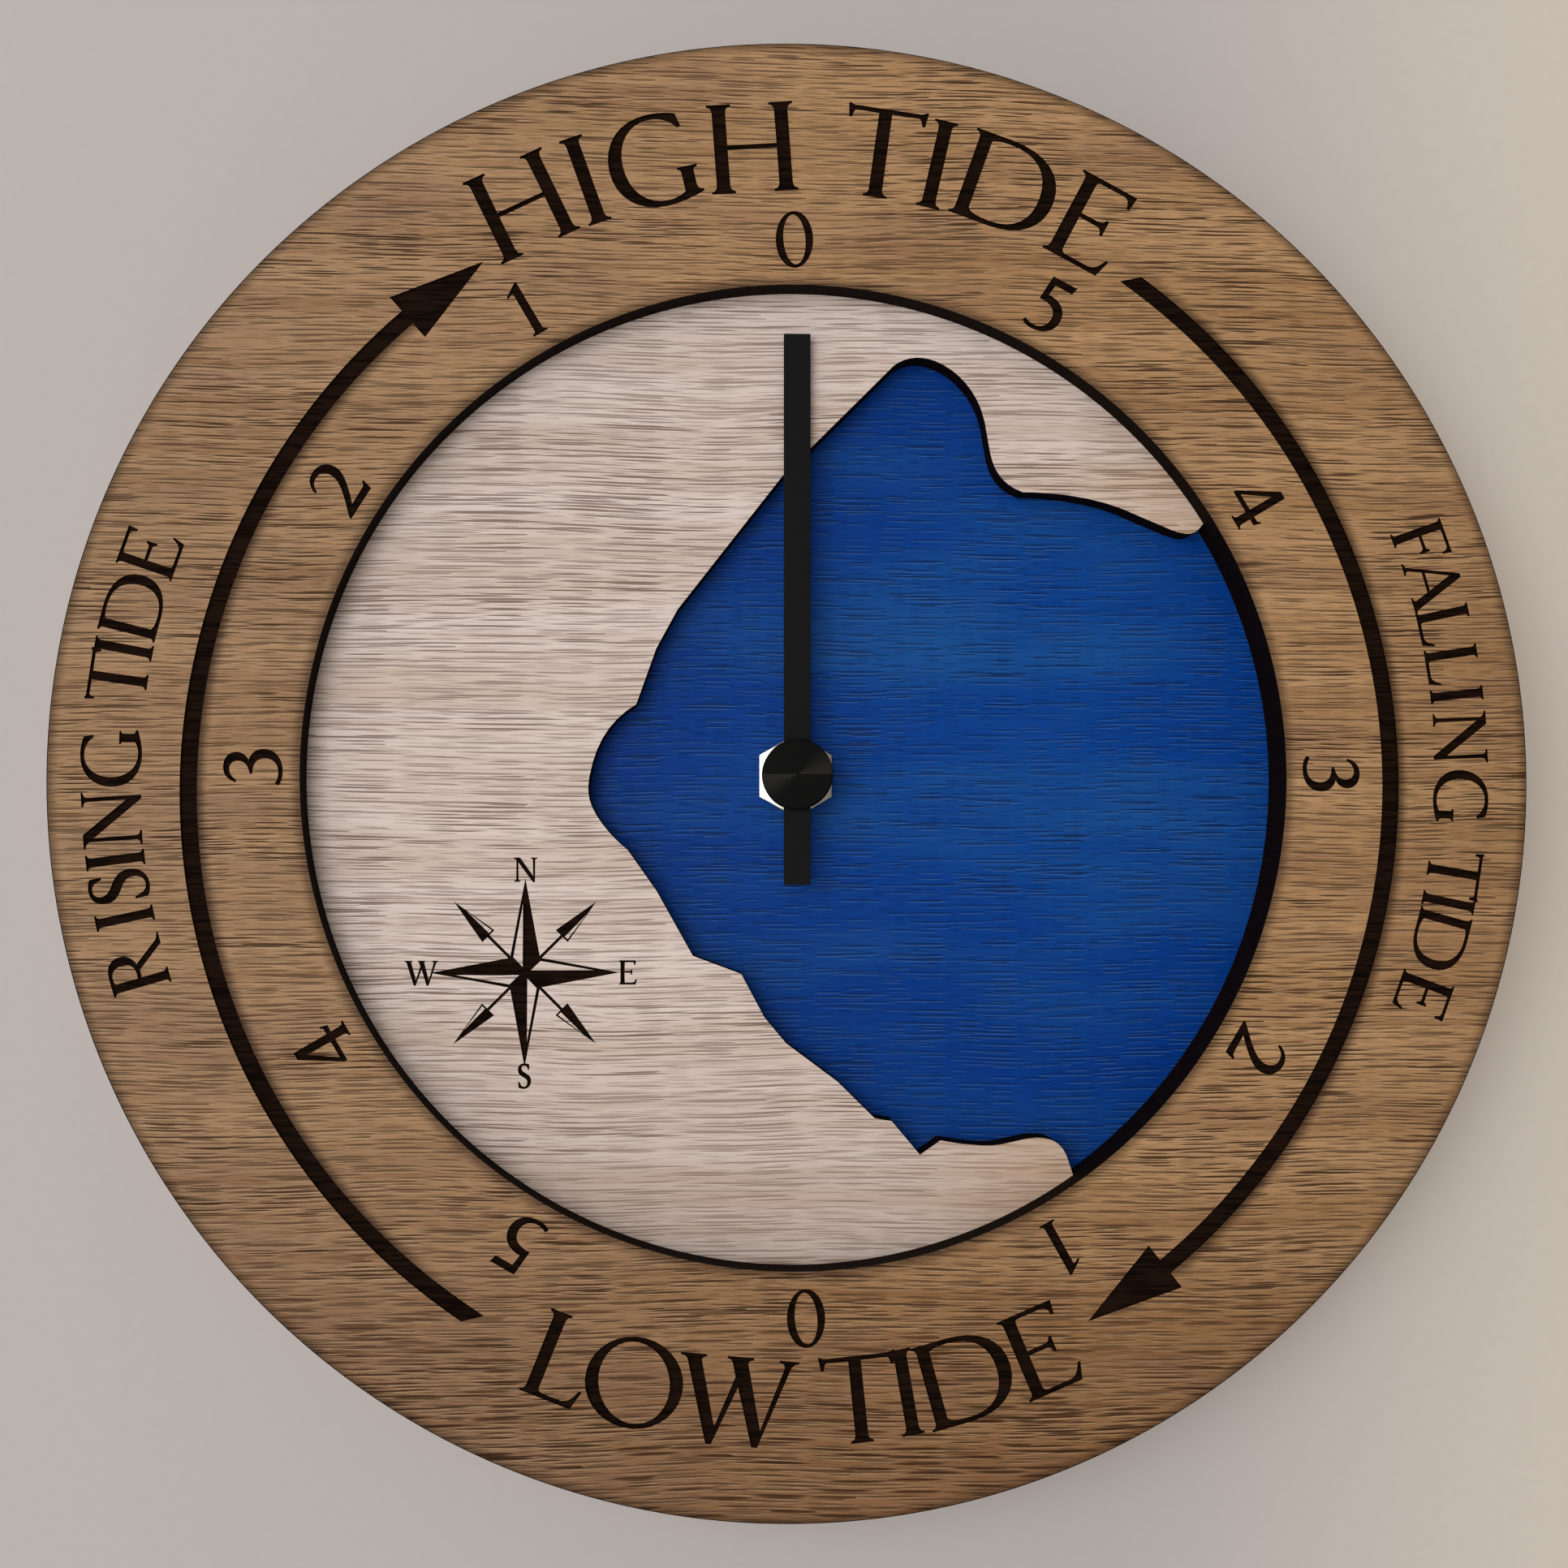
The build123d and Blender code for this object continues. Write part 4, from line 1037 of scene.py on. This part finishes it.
burnt_floor = charred_floor()
burnt_edge = charred_edge()
cap_black = spun_black()
foil_print = moulded("foil_print", "#b4b2ab", "#a5a39c", 0.45, 0.25)
finishes = {
    "oak_veneer": oak_veneer(),
    "washed_veneer": washed_veneer(),
    "blue_paint": blue_paint(),
    "bare_back": board_back(),
    "black_metal": black_lacquer(),
    "nickel": metal("bright_nickel", "#d8d3c8", "#bdb7aa", 0.2, 0.15),
    "brass": threaded_brass(),
    "steel": metal("rolled_steel", "#a9abad", "#8c8e90", 0.35, 0.2),
    "magnet": metal("sintered_magnet", "#5a5a5c", "#47474a", 0.5, 0.3),
    "copper": metal("enamelled_copper", "#b4602f", "#8c431e", 0.35, 0.12),
    "rubber": moulded("black_rubber", "#141414", "#1c1c1c", 0.85, 0.3),
    "case_plastic": moulded("black_abs", "#1d1d1f", "#242427", 0.45, 0.25),
    "wheel_plastic": moulded("white_acetal", "#e4e0d6", "#d8d3c6", 0.4, 0.3),
    "knob_plastic": moulded("grey_abs", "#d9d7d2", "#cbc8c2", 0.45, 0.25),
    "plate_plastic": moulded("clear_grey_styrene", "#8d9196", "#7c8085", 0.35, 0.3),
    "board_green": moulded("green_laminate", "#1d5a33", "#174a29", 0.4, 0.4),
    "chip_black": moulded("black_epoxy", "#101011", "#18181a", 0.3, 0.6),
    "cell_sleeve": cell_sleeve(),
}


# Pieces
outer_rim = circle(board_radius / mm - edge_ease)
for name, node, slot, hole, marks, back in (
    ("engraved_ring", "dial_ring", "oak_veneer", circle(ring_inner_radius / mm), ring_marks(), "oak_veneer"),
    ("cut_land", "land_layer", "washed_veneer", bay_outline(), compass_rose(), "washed_veneer"),
    ("painted_sea", "sea_disc", "blue_paint", circle(sea_hole_radius / mm), [], "bare_back"),
):
    materials = [finishes[slot], burnt_floor, burnt_floor, burnt_edge, finishes[back]]
    board(name, node, slot, [outer_rim, hole], marks, materials)

for name, node, body, slot, rounding in (
    ("baton_hand", "tide_hand", "hand", "black_metal", 0.12),
    ("set_knob_moulded", "set_knob", "setter", "knob_plastic", 0.15),
    ("rear_cover_moulded", "rear_cover", "clock", "case_plastic", 0.2),
    ("movement_case_moulded", "movement_case", "clock", "case_plastic", 0.25),
):
    softened(name, node, body, slot, finishes[slot], rounding)

turned_cap(cap_black)
chamfered_nut(finishes["nickel"])
raised_marks("cover_marks", cover_marks(), front_of("rear_cover") + cover_thickness * mm, foil_print)

# Battery cell, with bare metal at both ends
cell = softened("aa_cell", "battery_cell", "battery", "cell_sleeve", finishes["cell_sleeve"], 0.3).data
cell.materials.append(finishes["nickel"])
cell_low, cell_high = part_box("battery_cell")
for polygon in cell.polygons:
    if not cell_low.x + cell_base * mm < polygon.center.x < cell_high.x - cell_nub * mm:
        polygon.material_index = 1

# Finishes of the pieces that are shown as the frame has them
for subpart in frame["record"]["subparts"]:
    data = frame["nodes"][subpart["node"]].data
    data.materials.clear()
    data.materials.append(finishes[subpart["material_slot"]])


# Stage, light and camera
def stage_plane(name, corners):
    """A pale plastered plane that only the camera and mirrored rays see, from its front, with painted light
    making it lighter and warmer towards +X.
    """
    material, tree = new_material(name, {"Roughness": 0.9})
    shader = tree.nodes["Principled BSDF"]
    # Painted light: the plane is painted lighter and warmer from 60 mm to 190 mm along +X, to lift the
    # clock's shadow there.
    tint = stained(tree, linear("#c1bcbb"), "#dad0c5", place_mask(tree, "X", 60.0, 190.0))
    tint = stained(tree, tint, "#8e8a88", spotted(tree, [plaster_grit] * 3, 3.0), 0.1)
    tree.links.new(tint, shader.inputs["Base Color"])
    seen = add_node(tree, "ShaderNodeLightPath", output="Is Camera Ray")
    mirrored = add_node(tree, "ShaderNodeLightPath", output="Is Glossy Ray")
    looked_at = add_node(tree, "ShaderNodeMath", {0: seen, 1: mirrored}, operation="MAXIMUM")
    behind = add_node(tree, "ShaderNodeNewGeometry", output="Backfacing")
    in_front = add_node(tree, "ShaderNodeMath", {0: 1.0, 1: behind}, operation="SUBTRACT")
    shown = add_node(tree, "ShaderNodeMath", {0: looked_at, 1: in_front}, operation="MULTIPLY")
    clear = add_node(tree, "ShaderNodeBsdfTransparent")
    surface = add_node(tree, "ShaderNodeMixShader", {0: shown, 1: clear, 2: shader.outputs[0]})
    tree.links.new(surface, tree.nodes["Material Output"].inputs["Surface"])
    mesh = bmesh.new()
    mesh.faces.new([mesh.verts.new(corner) for corner in corners])
    data = bpy.data.meshes.new(name)
    mesh.to_mesh(data)
    mesh.free()
    data.materials.append(material)
    plane = bpy.data.objects.new(name, data)
    scene.collection.objects.link(plane)


stage_sides = ((-stage_reach, -1), (stage_reach, -1), (stage_reach, 1), (-stage_reach, 1))
stage_plane("wall", [(x, 0.0, floor_level if end < 0 else stage_reach) for x, end in stage_sides])
stage_plane("floor", [(x, floor_front if end < 0 else stage_reach, floor_level) for x, end in stage_sides])


def soft_lamp(name, place, target, size, power, colour):
    """A square soft light that faces a point."""
    light = bpy.data.lights.new(name, "AREA")
    light.shape = "SQUARE"
    light.size = size
    light.energy = power
    light.color = linear(colour)[:3]
    lamp = bpy.data.objects.new(name, light)
    lamp.location = place
    lamp.rotation_euler = (Vector(target) - Vector(place)).to_track_quat("-Z", "Y").to_euler()
    scene.collection.objects.link(lamp)


soft_lamp("window", (-0.5, -1.45, 0.1), (0, 0, 0), 0.9, 10.5, "#ffffff")
soft_lamp("back_fill", (0.6, 1.6, 0.9), (0, 0, 0), 1.0, 12.0, "#ffffff")

world = bpy.data.worlds.new("pale_room")
scene.world = world
world.use_nodes = True
room = world.node_tree
direction = add_node(room, "ShaderNodeTexCoord", output="Generated")
sideways = add_node(room, "ShaderNodeSeparateXYZ", {0: direction}, "X")
darker_side = add_node(
    room, "ShaderNodeMapRange", {0: sideways, 1: -0.3, 2: 0.6}, interpolation_type="SMOOTHSTEP"
)
sky = room.nodes["Background"]
room.links.new(stained(room, linear("#ece7e2"), "#857f79", darker_side), sky.inputs["Color"])
sky.inputs["Strength"].default_value = 0.9

camera_data = bpy.data.cameras.new("camera")
camera_data.sensor_width = 36.0
camera_data.lens = 45.0
camera_data.clip_start = 0.01
camera = bpy.data.objects.new("camera", camera_data)
camera.location = camera_place
camera.rotation_euler = (camera_target - camera_place).to_track_quat("-Z", "Y").to_euler()
scene.collection.objects.link(camera)
scene.camera = camera
scene.view_settings.view_transform = "Standard"
